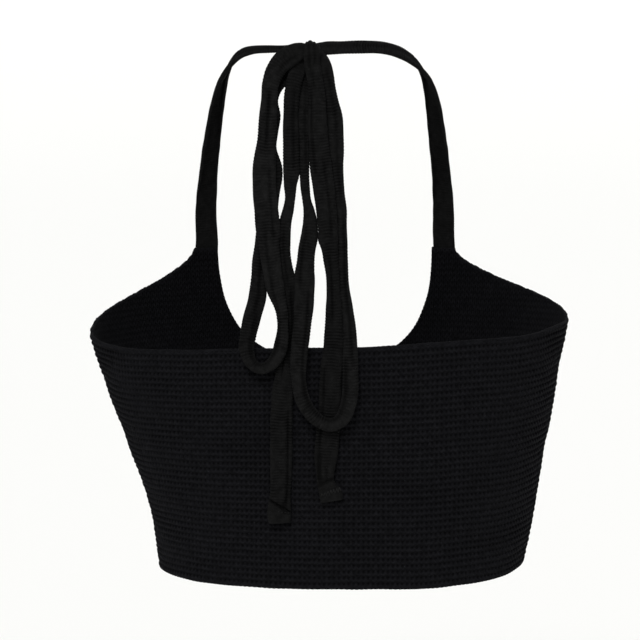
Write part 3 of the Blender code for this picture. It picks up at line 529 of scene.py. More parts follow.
# Tucks across a tie: the row of the route's table, how much the tuck slants, and its width and depth, in
# millimetres
Tuck = namedtuple("Tuck", "row slant wide deep")
TUCKS = {
    "tail_left": [
        Tuck(27.3, -0.55, 0.9, 2.2),
        Tuck(25.9, 0.35, 1.3, 0.6),
        Tuck(13.2, 0.3, 1.6, 0.5),
    ],
    "tail_right": [Tuck(28.9, 0.25, 1.2, 1.1), Tuck(20.0, -0.3, 1.6, 0.5)],
    "loop_left": [Tuck(16.6, 0.5, 1.6, 0.6), Tuck(18.4, -0.4, 1.5, 0.5), Tuck(23.6, 0.5, 1.6, 0.5)],
    "loop_right": [Tuck(23.6, 0.5, 1.6, 0.5), Tuck(29.2, -0.5, 1.6, 0.5), Tuck(8.2, 0.4, 1.5, 0.4)],
    "strap_left": [Tuck(9.0, 0.3, 1.6, 0.4)],
    "strap_right": [Tuck(8.4, -0.3, 1.6, 0.4)],
}

# Painted shade where a tie lies sheltered among the others: how much darker its colour is painted, from 0 in
# the open to 1 in the dark, by rows of its table
ShelterShade = namedtuple("ShelterShade", "rows dark")
IN_THE_OPEN = ShelterShade([0], [0.0])
PAINTED_SHELTER_SHADE = {
    "loop_left": ShelterShade([0, 3, 5, 20, 22, 25, 28, 41], [0.4, 0.3, 0.0, 0.0, 0.3, 0.4, 0.1, 0.4]),
    "loop_right": ShelterShade([0, 3, 13, 16, 20, 24, 40, 45], [0.35, 0.1, 0.1, 0.2, 0.1, 0.0, 0.0, 0.2]),
    "tail_left": ShelterShade([0, 5, 8, 13, 16, 20, 22], [0.35, 0.4, 0.1, 0.1, 0.35, 0.5, 0.3]),
    "tail_right": ShelterShade([0, 3, 9, 12, 16, 20, 30], [0.3, 0.1, 0.15, 0.35, 0.4, 0.4, 0.3]),
    "knot_wrap": ShelterShade([3, 7], [0.3, 0.4]),
}

# Gathers round the knot: how many, how deep as a share of its size, and how much they lean. The knot is
# lumpy too, and its jersey has rows and columns
Gather = namedtuple("Gather", "count deep lean")
KNOT_GATHERS = (Gather(9, 0.05, 2), Gather(17, 0.03, -1))
KNOT_SEGMENTS = 64
KNOT_RINGS = 40
KNOT_LUMPS = 0.06
KNOT_ROWS = 22
KNOT_COLUMNS = 10

# Stitches of thread: rings along one, points round it, how far it arches and sinks, in radii, and its taper
THREAD_RINGS = 7
THREAD_POINTS = 6
THREAD_ARCH = 1.6
THREAD_SINK = 0.5
THREAD_END = 0.12
THREAD_TAPER = 0.4

# Side seams: how far the stitches stay from the hem and the underarm, their pitch, half of one, how far it
# sinks in, its thread, and the radius of the join behind them and how many places it is laid through
SEAM_FROM_HEM = 3.0 * MILLIMETRE
SEAM_FROM_UNDERARM = 2.0 * MILLIMETRE
SEAM_PITCH = 4.2 * MILLIMETRE
SEAM_REACH = np.array((0.0, 1.7, -0.4)) * MILLIMETRE
SEAM_SUNK = 0.2 * MILLIMETRE
SEAM_THREAD = 0.3 * MILLIMETRE
JOIN_RADIUS = 0.8 * MILLIMETRE
JOIN_PLACES = 30

# Joins of the straps: stitches across, how far to each side, out, down and up they go, and their thread
STRAP_STITCHES = 8
STRAP_STITCH_SPAN = 6.6 * MILLIMETRE
STRAP_STITCH_OUT = 1.4 * MILLIMETRE
STRAP_STITCH_DOWN = 0.9 * MILLIMETRE
STRAP_STITCH_UP = 1.5 * MILLIMETRE
STRAP_THREAD = 0.42 * MILLIMETRE

# Overlock on the right tail's end: its teeth, x and z of its start, how far it goes, half its height, how
# far out it lies, and its thread
OVERLOCK_TEETH = 7
OVERLOCK_START = np.array((2.8, -290.5)) * MILLIMETRE
OVERLOCK_RUN = np.array((-13.2, 4.2)) * MILLIMETRE
OVERLOCK_HALF = 1.5 * MILLIMETRE
OVERLOCK_OUT = 4.4 * MILLIMETRE
OVERLOCK_THREAD = 0.36 * MILLIMETRE

# Stitches of the left tail's hem: their number, x and z of the first, the way to the next, their length, how
# far out they lie, and their thread
HEM_STITCHES = 6
HEM_START = np.array((35.2, -301.8)) * MILLIMETRE
HEM_PITCH = np.array((-2.1, -0.2)) * MILLIMETRE
HEM_STITCH = 1.4 * MILLIMETRE
HEM_STITCH_OUT = 5.3 * MILLIMETRE
HEM_THREAD = 0.26 * MILLIMETRE

# Sizes that the finishes' patterns are drawn at, or their scales
LINT_AND_HIGHLIGHT_PATCH = 3.125 * MILLIMETRE
KNIT_FUZZ = 0.4 * MILLIMETRE
JERSEY_FUZZ_SCALE = 2200.0
TWIST_SCALE = 520.0

# How far the legs of a plain stitch's V lie from its middle, in stitches, and how much they slant
LEG_PLACE = 0.26
LEG_SLANT = 1.1

# Brightness of clean patches of yarn, of linty ones with painted highlight, and of painted deep shade,
# against the yarn's colour
YARN_GAINS = (0.75, 1.75, 0.30)

# Kinds of node that the finishes use most
MATHS = "ShaderNodeMath"
NOISE = "ShaderNodeTexNoise"

# Stage: points round the floor, rings of its raised rim, where the lights shine from, how wide they look, in
# degrees, and the width of the camera's sensor in millimetres
FLOOR_POINTS = 96
SWEEP_STEPS = 12
KEY_PLACE = (0.20, 0.95, 0.84)
FRONT_PLACE = (-0.45, -0.90, 0.70)
LIGHT_SPREAD = 24
SENSOR_WIDTH = 36.0


def linear(hex_colour):
    """Linear red, green and blue of an sRGB colour written as six hex digits."""
    parts = [int(hex_colour[k : k + 2], 16) / 255 for k in (1, 3, 5)]
    return tuple(part / 12.92 if part <= 0.04045 else ((part + 0.055) / 1.055) ** 2.4 for part in parts)


class HALTERTOP_PG_knit(bpy.types.PropertyGroup):
    """Sizes of the panels' knit."""

    wale: FloatProperty(
        name="Stitch width", description="Width of one stitch", default=0.00325, min=0.002, unit="LENGTH"
    )
    courses: IntProperty(
        name="Rows", description="Rows of stitches from the hem to the underarm", default=40, min=10
    )
    relief: FloatProperty(
        name="Row relief",
        description="Height of a row's ridge over its groove",
        default=0.0009,
        unit="LENGTH",
    )
    edge_radius: FloatProperty(
        name="Edge radius",
        description="Radius of the bound edge of the knit",
        default=0.00105,
        unit="LENGTH",
    )


class HALTERTOP_PG_ties(bpy.types.PropertyGroup):
    """Sizes of the ties' narrow knit."""

    flat_width: FloatProperty(
        name="Flat width", description="Width of a tie laid flat", default=0.016, min=0.008, unit="LENGTH"
    )
    cloth: FloatProperty(
        name="Cloth", description="Thickness of the ties' cloth", default=0.0011, unit="LENGTH"
    )
    fuller: FloatProperty(
        name="Fuller by",
        description="How much wider the soft ties spread than their tables say",
        default=0.0012,
        unit="LENGTH",
    )
    course: FloatProperty(
        name="Row pitch", description="Distance from one row to the next", default=0.0020, unit="LENGTH"
    )
    relief: FloatProperty(
        name="Row relief",
        description="Height of a row's ridge over its groove",
        default=0.0003,
        unit="LENGTH",
    )


class HALTERTOP_PG_colours(bpy.types.PropertyGroup):
    """Colours of the garment and its stage."""

    yarn: FloatVectorProperty(
        name="Panel yarn",
        description="Black cotton yarn of the panels",
        subtype="COLOR",
        default=linear("#0e0e10"),
    )
    jersey: FloatVectorProperty(
        name="Tie yarn", description="Black yarn of the ties", subtype="COLOR", default=linear("#101010")
    )
    thread: FloatVectorProperty(
        name="Thread", description="Black sewing thread", subtype="COLOR", default=linear("#151515")
    )
    floor: FloatVectorProperty(
        name="Floor", description="Pale matt floor", subtype="COLOR", default=linear("#f4f4f2")
    )
    air: FloatVectorProperty(
        name="Surroundings", description="Pale surroundings", subtype="COLOR", default=linear("#fafafa")
    )


class HALTERTOP_PG_stage(bpy.types.PropertyGroup):
    """Camera and floor."""

    lens: FloatProperty(name="Lens", description="Focal length in millimetres", default=173.0, min=20.0)
    camera_place: FloatVectorProperty(
        name="Camera",
        description="Place of the camera",
        default=(0.0033, 2.0, 0.045),
        subtype="TRANSLATION",
    )
    camera_aim: FloatVectorProperty(
        name="Aim",
        description="Where the camera looks",
        default=(0.0033, 0.0, -0.1764),
        subtype="TRANSLATION",
    )
    key_strength: FloatProperty(
        name="Key light", description="Strength of the soft key", default=2.5, min=0.0
    )
    front_strength: FloatProperty(
        name="Front light", description="Strength of the soft light on the front", default=0.7, min=0.0
    )
    air_strength: FloatProperty(
        name="Air", description="Strength of the pale surroundings", default=0.45, min=0.0
    )
    floor_height: FloatProperty(
        name="Floor height",
        description="Height of the floor under the garment",
        default=-0.60,
        unit="LENGTH",
    )
    floor_flat: FloatProperty(
        name="Flat floor",
        description="Radius of the floor's flat middle",
        default=6.0,
        min=1.0,
        unit="LENGTH",
    )
    sweep_reach: FloatProperty(
        name="Sweep reach",
        description="Radius of the floor with its raised rim",
        default=24.0,
        unit="LENGTH",
    )
    sweep_rise: FloatProperty(
        name="Sweep rise", description="How far the floor's rim rises", default=3.2, unit="LENGTH"
    )


def through(knots, values, at):
    """Smooth curve through the table's values, read at the given places."""
    knots = np.asarray(knots, float)
    values = np.asarray(values, float)
    at = np.clip(at, knots[0], knots[-1])
    slopes = np.gradient(values, knots, axis=0)
    index = np.clip(np.searchsorted(knots, at) - 1, 0, len(knots) - 2)
    span = knots[index + 1] - knots[index]
    f = (at - knots[index]) / span
    if values.ndim > 1:
        f = f[:, None]
        span = span[:, None]
    rise = (2 * f**3 - 3 * f**2 + 1) * values[index] + (3 * f**2 - 2 * f**3) * values[index + 1]
    lean = (f**3 - 2 * f**2 + f) * slopes[index] + (f**3 - f**2) * slopes[index + 1]
    return rise + span * lean


TORSO_TABLE = np.array(TORSO)


def torso_level(height):
    """Section sizes at a height, read from the torso's table."""
    row = through(TORSO_TABLE[:, 0], TORSO_TABLE[:, 1:], np.array([height]))[0]
    return TorsoLevel(height, *row)


def fullness(x, height):
    """How far the front stands out at x and height to clear the bust."""
    down = ((height - BUST_HEIGHT) / BUST_TALL) ** 2
    left = ((x - BUST_APART) / BUST_WIDTH) ** 2
    right = ((x + BUST_APART) / BUST_WIDTH) ** 2
    return BUST_DEPTH * (np.exp(-left - down) + np.exp(-right - down))


def half_section(height, at_back):
    """Points along the back or front half of a section, from left to right, and their arc lengths."""
    level = torso_level(height)
    middle = (level.left + level.right) / 2
    half_width = (level.left - level.right) / 2
    depth = (level.back if at_back else level.front) - level.widest
    turn = np.linspace(0, math.pi, SECTION_SAMPLES)
    x = middle + half_width * np.sign(np.cos(turn)) * np.abs(np.cos(turn)) ** (2 / SECTION_POWER)
    if not at_back:
        depth = depth - fullness(x, height)
    y = level.widest + depth * np.abs(np.sin(turn)) ** (2 / SECTION_POWER)
    steps = np.hypot(np.diff(x), np.diff(y))
    return x, y, np.concatenate(([0.0], np.cumsum(steps)))


def arc_from_middle(height, x, at_back):
    """Arc along the section from the middle line to the place where it passes x, towards the left."""
    xs, _, arcs = half_section(height, at_back)
    return float(np.interp(-MIDDLE_LINE, -xs, arcs) - np.interp(-x, -xs, arcs))


Chart = namedtuple("Chart", "heights left right points normals")


def chart_torso(at_back):
    """Grid of the torso's back or front: points and outward normals by height and share of the way round."""
    heights = np.arange(HEM - 3 * CHART_STEP, CHART_TOP, CHART_STEP)
    shares = np.linspace(-1, 1, CHART_COLUMNS)
    points = np.empty((len(heights), CHART_COLUMNS, 3))
    left = np.empty(len(heights))
    right = np.empty(len(heights))
    for k, height in enumerate(heights):
        xs, ys, arcs = half_section(height, at_back)
        middle = np.interp(-MIDDLE_LINE, -xs, arcs)
        left[k] = middle
        right[k] = arcs[-1] - middle
        at = middle - shares * np.where(shares > 0, left[k], right[k])
        points[k, :, 0] = np.interp(at, arcs, xs)
        points[k, :, 1] = np.interp(at, arcs, ys)
        points[k, :, 2] = height
    normals = np.cross(np.gradient(points, axis=0), np.gradient(points, axis=1))
    normals *= (1 if at_back else -1) / np.linalg.norm(normals, axis=2, keepdims=True)
    return Chart(heights, left, right, points, normals)


def on_chart(chart, arcs, heights):
    """Points of the torso's face and its outward normals, at arcs left of the middle line and at heights."""
    left = np.interp(heights, chart.heights, chart.left)
    right = np.interp(heights, chart.heights, chart.right)
    share = np.clip(arcs / np.where(arcs > 0, left, right), -1, 1)
    last_level = len(chart.heights) - 1
    last_column = CHART_COLUMNS - 1
    level = np.clip((heights - chart.heights[0]) / CHART_STEP, 0, last_level - 1e-6)
    column = np.clip((share + 1) / 2 * last_column, 0, last_column - 1e-6)
    row = level.astype(int)
    col = column.astype(int)
    up = (level - row)[:, None]
    across = (column - col)[:, None]
    found = []
    for grid in (chart.points, chart.normals):
        low = grid[row, col] * (1 - across) + grid[row, col + 1] * across
        high = grid[row + 1, col] * (1 - across) + grid[row + 1, col + 1] * across
        found.append(low * (1 - up) + high * up)
    found[1] /= np.linalg.norm(found[1], axis=1, keepdims=True)
    return found


def edge_across(chart, table):
    """A panel's top edge or hem in the flat, as arc and height, from left to right."""
    around = np.linspace(0, 1, EDGE_POINTS)
    places = np.array(table)
    heights = through(places[:, 0], places[:, 1], around)
    left = np.interp(heights, chart.heights, chart.left)
    right = np.interp(heights, chart.heights, chart.right)
    return np.column_stack((left - around * (left + right), heights))


Outline = namedtuple("Outline", "hem left_seam top right_seam")


def panel_outline(chart, hem, top):
    """Outline of a panel in the flat, from its hem and its top edge, which are given from left to right."""
    rise_left = np.arange(hem[0, 1] + OUTLINE_STEP, top[0, 1] - OUTLINE_STEP / 2, OUTLINE_STEP)
    rise_right = np.arange(hem[-1, 1] + OUTLINE_STEP, top[-1, 1] - OUTLINE_STEP / 2, OUTLINE_STEP)[::-1]
    left = np.column_stack((np.interp(rise_left, chart.heights, chart.left), rise_left))
    right = np.column_stack((-np.interp(rise_right, chart.heights, chart.right), rise_right))
    return Outline(hem[::-1], left, top, right)


Rows = namedtuple("Rows", "hem top")


def line_height(line, arcs):
    """Height of a line that runs from left to right, at arcs."""
    return np.interp(-arcs, -line[:, 0], line[:, 1])


def row_height(rows, arcs, number):
    """Height of a row of stitches at arcs: rows follow the hem and a line at the top."""
    low = line_height(rows.hem, arcs)
    return low + (line_height(rows.top, arcs) - low) * number / bpy.context.scene.halter_knit.courses


def row_number(rows, arcs, heights):
    """How many rows up from the hem places lie."""
    low = line_height(rows.hem, arcs)
    return (heights - low) / (line_height(rows.top, arcs) - low) * bpy.context.scene.halter_knit.courses


def front_arc(height, share, hand):
    """Arc from the middle line at a share of the way from the front's own middle to a side seam."""
    level = torso_level(height)
    centre = arc_from_middle(height, (level.left + level.right) / 2, False)
    seam = arc_from_middle(height, level.left if hand > 0 else level.right, False)
    return centre + (seam - centre) * share


def front_share(height, x, hand):
    """The share that front_arc would need to reach x."""
    centre = front_arc(height, 0.0, hand)
    return (arc_from_middle(height, x, False) - centre) / (front_arc(height, 1.0, hand) - centre)


def neckline_curve(hand):
    """The neckline's edge from its lowest point up to the horn, as arc and height."""
    places = []
    for turn in np.linspace(0, 1, CURVE_POINTS):
        rise = 1 - math.cos(turn * math.pi / 2)
        height = SCOOP + (HORN - SCOOP) * rise
        level = torso_level(height)
        middle = (level.left + level.right) / 2
        opened = (1 - (1 - rise) ** SCOOP_ROUNDNESS) ** (1 / SCOOP_ROUNDNESS)
        x = middle * (1 - rise) + hand * HORN_INNER * opened
        places.append((arc_from_middle(height, x, False), height))
    return np.array(places)


def armhole_curve(hand):
    """The armhole's edge from the underarm up to the horn, as arc and height."""
    underarm = UNDERARM_LEFT if hand > 0 else UNDERARM_RIGHT
    horn_share = front_share(HORN, hand * HORN_OUTER, hand)
    places = []
    for turn in np.linspace(0, 1, CURVE_POINTS):
        rise = turn**ARMHOLE_RISE
        height = underarm + (HORN - underarm) * rise
        share = 1 - (1 - horn_share) * (1 - (1 - rise) ** ARMHOLE_HOLLOW)
        places.append((front_arc(height, share, hand), height))
    return np.array(places)


Nearness = namedtuple("Nearness", "distance nearest travel")


def against_outline(places, outline):
    """How far places lie inside the outline, the nearest places on it, and how far round it those are."""
    run = np.roll(outline, -1, axis=0) - outline
    square = (run**2).sum(1)
    before = np.concatenate(([0.0], np.cumsum(np.sqrt(square))[:-1]))
    distance = np.empty(len(places))
    nearest = np.empty((len(places), 2))
    travel = np.empty(len(places))
    slope = run[:, 0] / np.where(run[:, 1] == 0, 1.0, run[:, 1])
    for first in range(0, len(places), CHUNK):
        some = places[first : first + CHUNK]
        off = some[:, None] - outline
        part = np.clip((off * run).sum(2) / square, 0, 1)
        foot = outline + part[..., None] * run
        gaps = ((some[:, None] - foot) ** 2).sum(2)
        pick = gaps.argmin(1)
        each = np.arange(len(some))
        above = some[:, None, 1] < outline[:, 1]
        spans = above != (some[:, None, 1] < outline[:, 1] + run[:, 1])
        crossed = spans & (off[..., 0] < slope * off[..., 1])
        inside = np.where(crossed.sum(1) % 2 == 1, 1.0, -1.0)
        distance[first : first + CHUNK] = inside * np.sqrt(gaps[each, pick])
        nearest[first : first + CHUNK] = foot[each, pick]
        travel[first : first + CHUNK] = before[pick] + part[each, pick] * np.sqrt(square[pick])
    return Nearness(distance, nearest, travel)


Sheet = namedtuple("Sheet", "places faces edge")


def cut_sheet(outline, rows, across, up):
    """Grid in the flat, in steps across and steps of a row up, cut cleanly along an outline.

    Vertices near the outline are moved onto it, and a cell that it crosses keeps only its inner part. The
    edge is the loop of vertices round the sheet, with how far round the outline each one lies.
    """
    first_column = math.floor(outline[:, 0].min() / across)
    last_column = math.ceil(outline[:, 0].max() / across)
    arcs = np.arange(first_column, last_column + 1) * across
    last = math.ceil(float(row_number(rows, arcs, outline[:, 1].max()).max()) / up)
    arc_grid, row_grid = np.meshgrid(arcs, np.arange(last + 1) * up)
    places = np.column_stack((arc_grid.ravel(), row_height(rows, arc_grid, row_grid).ravel()))
    found = against_outline(places, outline)
    least_rise = np.diff(row_height(rows, arcs, np.array([[0], [up]])), axis=0).min()
    limit = NEAR_EDGE * min(across, float(least_rise))
    near = np.abs(found.distance) < limit
    state = np.where(near, 0.0, np.sign(found.distance))
    places[near] = found.nearest[near]
    number = np.arange(len(places)).reshape(arc_grid.shape)
    four = (number[:-1, :-1], number[:-1, 1:], number[1:, 1:], number[1:, :-1])
    cells = np.stack(four, axis=-1).reshape(-1, 4)
    signs = state[cells]
    whole = (signs >= 0).all(1) & (signs > 0).any(1)
    partly = (signs > 0).any(1) & (signs < 0).any(1)
    faces = [tuple(cell) for cell in cells[whole].tolist()]
    crossings = {}
    for cell in cells[partly].tolist():
        corners = []
        for k in range(4):
            here = cell[k]
            there = cell[(k + 1) % 4]
            if state[here] >= 0:
                corners.append(here)
            if state[here] * state[there] < 0:
                key = (min(here, there), max(here, there))
                corners.append(crossings.setdefault(key, len(places) + len(crossings)))
        if len(corners) > 2:
            faces.append(tuple(corners))
    ends = np.array(list(crossings), int).reshape(-1, 2)
    inner = found.distance[ends[:, 0]]
    outer = found.distance[ends[:, 1]]
    part = (inner / (inner - outer))[:, None]
    crossed = against_outline(places[ends[:, 0]] * (1 - part) + places[ends[:, 1]] * part, outline)
    places = np.concatenate((places, crossed.nearest))
    travel = np.concatenate((found.travel, crossed.travel))
    used, packed = np.unique(np.concatenate([np.array(face) for face in faces]), return_inverse=True)
    splits = np.cumsum([len(face) for face in faces])[:-1]
    faces = [tuple(part.tolist()) for part in np.split(packed, splits)]
    return Sheet(places[used], faces, edge_loop(faces, travel[used]))


def edge_loop(faces, travel):
    """The vertices round a sheet in order, each with how far round the outline it lies."""
    directed = {(face[k], face[(k + 1) % len(face)]) for face in faces for k in range(len(face))}
    after = {first: second for first, second in directed if (second, first) not in directed}
    start = min(after, key=lambda vertex: travel[vertex])
    loop = [start]
    while after[loop[-1]] != start:
        loop.append(after[loop[-1]])
    if len(loop) != len(after):
        raise RuntimeError(f"the sheet's edge has {len(after)} vertices and its loop {len(loop)}")
    return [(vertex, travel[vertex]) for vertex in loop]


def zip_edges(first, second, whole):
    """Triangles that join two loops which run the same way round, each vertex with its travel."""
    joined = []
    a = 0
    b = 0
    first_travel = list(np.maximum.accumulate([travel for _, travel in first])) + [whole]
    second_travel = list(np.maximum.accumulate([travel for _, travel in second])) + [whole]
    while a < len(first) or b < len(second):
        here = first[a % len(first)][0]
        there = second[b % len(second)][0]
        if b == len(second) or (a < len(first) and first_travel[a + 1] <= second_travel[b + 1]):
            joined.append((here, first[(a + 1) % len(first)][0], there))
            a += 1
        else:
            joined.append((here, second[(b + 1) % len(second)][0], there))
            b += 1
    return joined


def knit_height(wales, courses, relief):
    """Height of the purl-faced knit over the cloth's mean face, at places counted in stitches and rows.

    The numbers inside the sines are uneven beats, so that the stitches never wander in step.
    """
    wales = wales + WALE_WANDER * np.sin(0.73 * courses + 1.9 * np.sin(0.21 * wales)) + 0.5
    courses = courses + COURSE_WANDER * np.sin(0.31 * wales + 0.8 * np.sin(0.47 * courses))
    gains = 1 + UNEVEN * np.random.default_rng(SEED).uniform(-1, 1, BEADS_REPEAT)
    column = np.floor(wales + 0.5).astype(int) % BEADS_REPEAT[0]
    row = np.floor(courses).astype(int) % BEADS_REPEAT[1]
    swing = np.cos(TURN * wales)
    bead = 0.5 + 0.5 * swing
    ridge = 0.5 + 0.5 * np.cos(TURN * (courses - 0.5 - ROW_SWING * swing))
    beads = ridge**RIDGE_ROUNDNESS * (1 - BEAD_HEIGHT * (1 - bead)) * gains[column, row]
    post = POST_HEIGHT * bead * (1 - ridge)
    hole = HOLE_DEPTH * (1 - bead) ** 2 * (1 - ridge) ** 2
    return relief * (beads + post - hole - 0.5)


def crease_depth(creases, arcs, heights):
    """How far the cloth is pressed in by its creases, at arcs and heights in metres."""
    depth = np.zeros(len(arcs))
    for crease in creases:
        turn = math.radians(crease.angle)
        off_arc = arcs / MILLIMETRE - crease.arc
        off_height = (heights - HEM) / MILLIMETRE - crease.height
        along = (off_arc * math.cos(turn) + off_height * math.sin(turn)) / (crease.length / 2)
        across = (off_height * math.cos(turn) - off_arc * math.sin(turn)) / crease.wide
        bend = CREASE_CURVE * along**2
        depth += crease.deep * MILLIMETRE * np.exp(-((across - bend) ** 2) - along**2)
    return depth


def new_piece(name, points, faces, materials, uv=None, face_materials=None, sharp=None, marks=None):
    """Mesh piece at the origin with its place in its points, its faces turned outwards and shaded smooth.

    Marks are named values for each point that its material reads.
    """
    data = bpy.data.meshes.new(name)
    data.from_pydata(np.asarray(points).tolist(), [], faces)
    for material in materials:
        data.materials.append(material)
    if face_materials is not None:
        data.polygons.foreach_set("material_index", np.asarray(face_materials, np.int32))
    if uv is not None:
        layer = data.uv_layers.new(name="Stitches")
        corners = np.empty(len(data.loops), np.int32)
        data.loops.foreach_get("vertex_index", corners)
        layer.data.foreach_set("uv", np.asarray(uv, np.float32)[corners].ravel())
    shell = bmesh.new()
    shell.from_mesh(data)
    bmesh.ops.recalc_face_normals(shell, faces=shell.faces)
    shell.to_mesh(data)
    shell.free()
    data.shade_smooth()
    if sharp is not None:
        data.set_sharp_from_angle(angle=math.radians(sharp))
    for mark, values in (marks or {}).items():
        attribute = data.attributes.new(mark, "FLOAT", "POINT")
        attribute.data.foreach_set("value", np.asarray(values, np.float32).ravel())
    piece = bpy.data.objects.new(name, data)
    bpy.context.scene.collection.objects.link(piece)
    return piece


def dress(piece, slot, *nodes):
    """Makes a piece ride with the garment and stand for its solids, which it hides. The slot is not used."""
    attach(piece, "root")
    if nodes:
        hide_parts(*nodes)
    return piece


def knit_panel(name, chart, outline, rows, creases, materials):
    """Panel of knit: a stitched outer face, a plainer one inside it, and the edge between them."""
    knit = bpy.context.scene.halter_knit
    outline = np.concatenate(outline)
    outer = cut_sheet(outline, rows, knit.wale / FINE_PER_STITCH, 1 / FINE_PER_STITCH)
    inner = cut_sheet(outline, rows, knit.wale / INSIDE_PER_STITCH, 1 / INSIDE_PER_STITCH)
    points = []
    stitches = []
    painted_shades = []
    for sheet, depth in ((outer, 0.0), (inner, CLOTH)):
        arcs, heights = sheet.places.T
        on_face, normals = on_chart(chart, arcs, heights)
        courses = row_number(rows, arcs, heights)
        creased = crease_depth(creases, arcs, heights)
        # Painted shade: the troughs of creases are painted darker, fully so where they are 1 mm deep
        painted_shades.append(np.clip(creased / MILLIMETRE, 0, 1))
        lift = -creased - depth
        if depth == 0.0:
            lift = lift + knit_height(arcs / knit.wale, courses, knit.relief)
        points.append(on_face + normals * lift[:, None])
        stitches.append(np.column_stack((arcs / knit.wale, courses)))
    count = len(outer.places)
    inside = [tuple(count + corner for corner in reversed(face)) for face in inner.faces]
    inner_edge = [(count + vertex, travel) for vertex, travel in inner.edge]
    whole = float(np.linalg.norm(np.roll(outline, -1, axis=0) - outline, axis=1).sum())
    rims = zip_edges(outer.edge, inner_edge, whole)
    faces = outer.faces + rims + inside
    which = [0] * (len(outer.faces) + len(rims)) + [1] * len(inside)
    piece = new_piece(
        name,
        np.concatenate(points),
        faces,
        materials,
        uv=np.concatenate(stitches),
        face_materials=which,
        marks={"painted_shade": np.concatenate(painted_shades)},
    )
    return dress(piece, "panel_knit", name)


def ring_tube(rings):
    """Faces of a tube of rings that have the same number of points, closed at both ends."""
    count, points = rings.shape[:2]
    number = np.arange(count * points).reshape(count, points)
    after = np.roll(number, -1, axis=1)
    sides = np.stack((number[:-1], after[:-1], after[1:], number[1:]), axis=-1).reshape(-1, 4).tolist()
    return [tuple(side) for side in sides] + [tuple(number[0].tolist()), tuple(number[-1].tolist())]


def frames_along(path, looks):
    """Directions ahead, out of the face and across at each point of a path."""
    ahead = np.gradient(path, axis=0)
    ahead /= np.linalg.norm(ahead, axis=1, keepdims=True)
    face = looks - ahead * (looks * ahead).sum(1, keepdims=True)
    face /= np.linalg.norm(face, axis=1, keepdims=True)
    return ahead, face, np.cross(ahead, face)


def along_line(places):
    """How far along a line of places each of them lies."""
    return np.concatenate(([0.0], np.cumsum(np.linalg.norm(np.diff(places, axis=0), axis=1))))


def round_rings(path, face, across, points, wide, high):
    """Rings of points round a path, with half their width and half their height at each of its places."""
    turn = np.linspace(0, TURN, points, endpoint=False)
    rings = path[:, None] + across[:, None] * (np.cos(turn) * wide)[..., None]
    return rings + face[:, None] * (np.sin(turn) * high)[..., None]


def bound_edge(name, chart, places, inward, material, radius=None):
    """Chain of stitches that closes the cloth along its outline, or joins two panels when inward is 0."""
    knit = bpy.context.scene.halter_knit
    radius = radius or knit.edge_radius
    knots = along_line(places)
    at = np.linspace(0, knots[-1], round(knots[-1] / knit.wale * CHAIN_RINGS))
    flat = np.column_stack((np.interp(at, knots, places[:, 0]), np.interp(at, knots, places[:, 1])))
    ahead = np.gradient(flat, axis=0)
    ahead /= np.linalg.norm(ahead, axis=1, keepdims=True)
    side = np.column_stack((-ahead[:, 1], ahead[:, 0])) * inward
    # The lengths inside the sines, in metres, are uneven beats
    wave = CHAIN_STRAYS * np.sin(at / 0.0061) * np.sin(at / 0.0173 + 1.0)
    flat = flat + side * (radius * CHAIN_INSET + wave)[:, None]
    on_face, normals = on_chart(chart, flat[:, 0], flat[:, 1])
    path = on_face - normals * CLOTH / 2
    _, face, across = frames_along(path, normals)
    wide = radius * (CHAIN_THIN + CHAIN_SWELL * np.abs(np.sin(math.pi * at / knit.wale))[:, None])
    rings = round_rings(path, face, across, CHAIN_POINTS, wide, wide * CHAIN_HIGH)
    round_chain = 0.5 + CHAIN_ROW * np.cos(np.linspace(0, TURN, CHAIN_POINTS, endpoint=False))
    uv = np.column_stack((np.repeat(at / knit.wale, CHAIN_POINTS), np.tile(round_chain, len(at))))
    return dress(new_piece(name, rings.reshape(-1, 3), ring_tube(rings), [material], uv=uv), "panel_knit")


def uneven_rows(at, arc, calm):
    """How far a tie's rows sway, in rows, and how strong they are, at places along it and across it.

    The lengths that the sines divide by, in metres, are uneven beats, so that nothing repeats in sight.
    """
    sway = ROW_SWAYS[0] * np.sin(arc / 0.0021 + at / 0.0137) + ROW_SWAYS[1] * np.sin(at / 0.0034)
    strength = ROW_STRENGTH + STRENGTH_VARIES[0] * np.sin(arc / 0.0016 + 2.1 * np.sin(at / 0.0059))
    strength = strength + STRENGTH_VARIES[1] * np.sin(at / 0.0091)
    return sway, np.clip(strength, *STRENGTH_LIMITS) * calm


def pressed_in(name, knots, at, x):
    """How deep a tie's folds and tucks are, in millimetres, at places along it and across it."""
    row = np.interp(at, knots, np.arange(len(knots)))
    depth = np.zeros_like(x)
    for fold in FOLDS[name]:
        opened = np.clip(np.minimum(row - fold.first, fold.last - row), 0, 1)
        dip = np.exp(-(((x / MILLIMETRE - fold.side) / fold.wide) ** 2))
        depth += fold.deep * dip * opened * (2 - opened)
    for tuck in TUCKS.get(name, []):
        centre = np.interp(tuck.row, np.arange(len(knots)), knots)
        along = (at - centre - tuck.slant * x) / MILLIMETRE
        depth += tuck.deep * np.exp(-((along / tuck.wide) ** 2))
    return depth


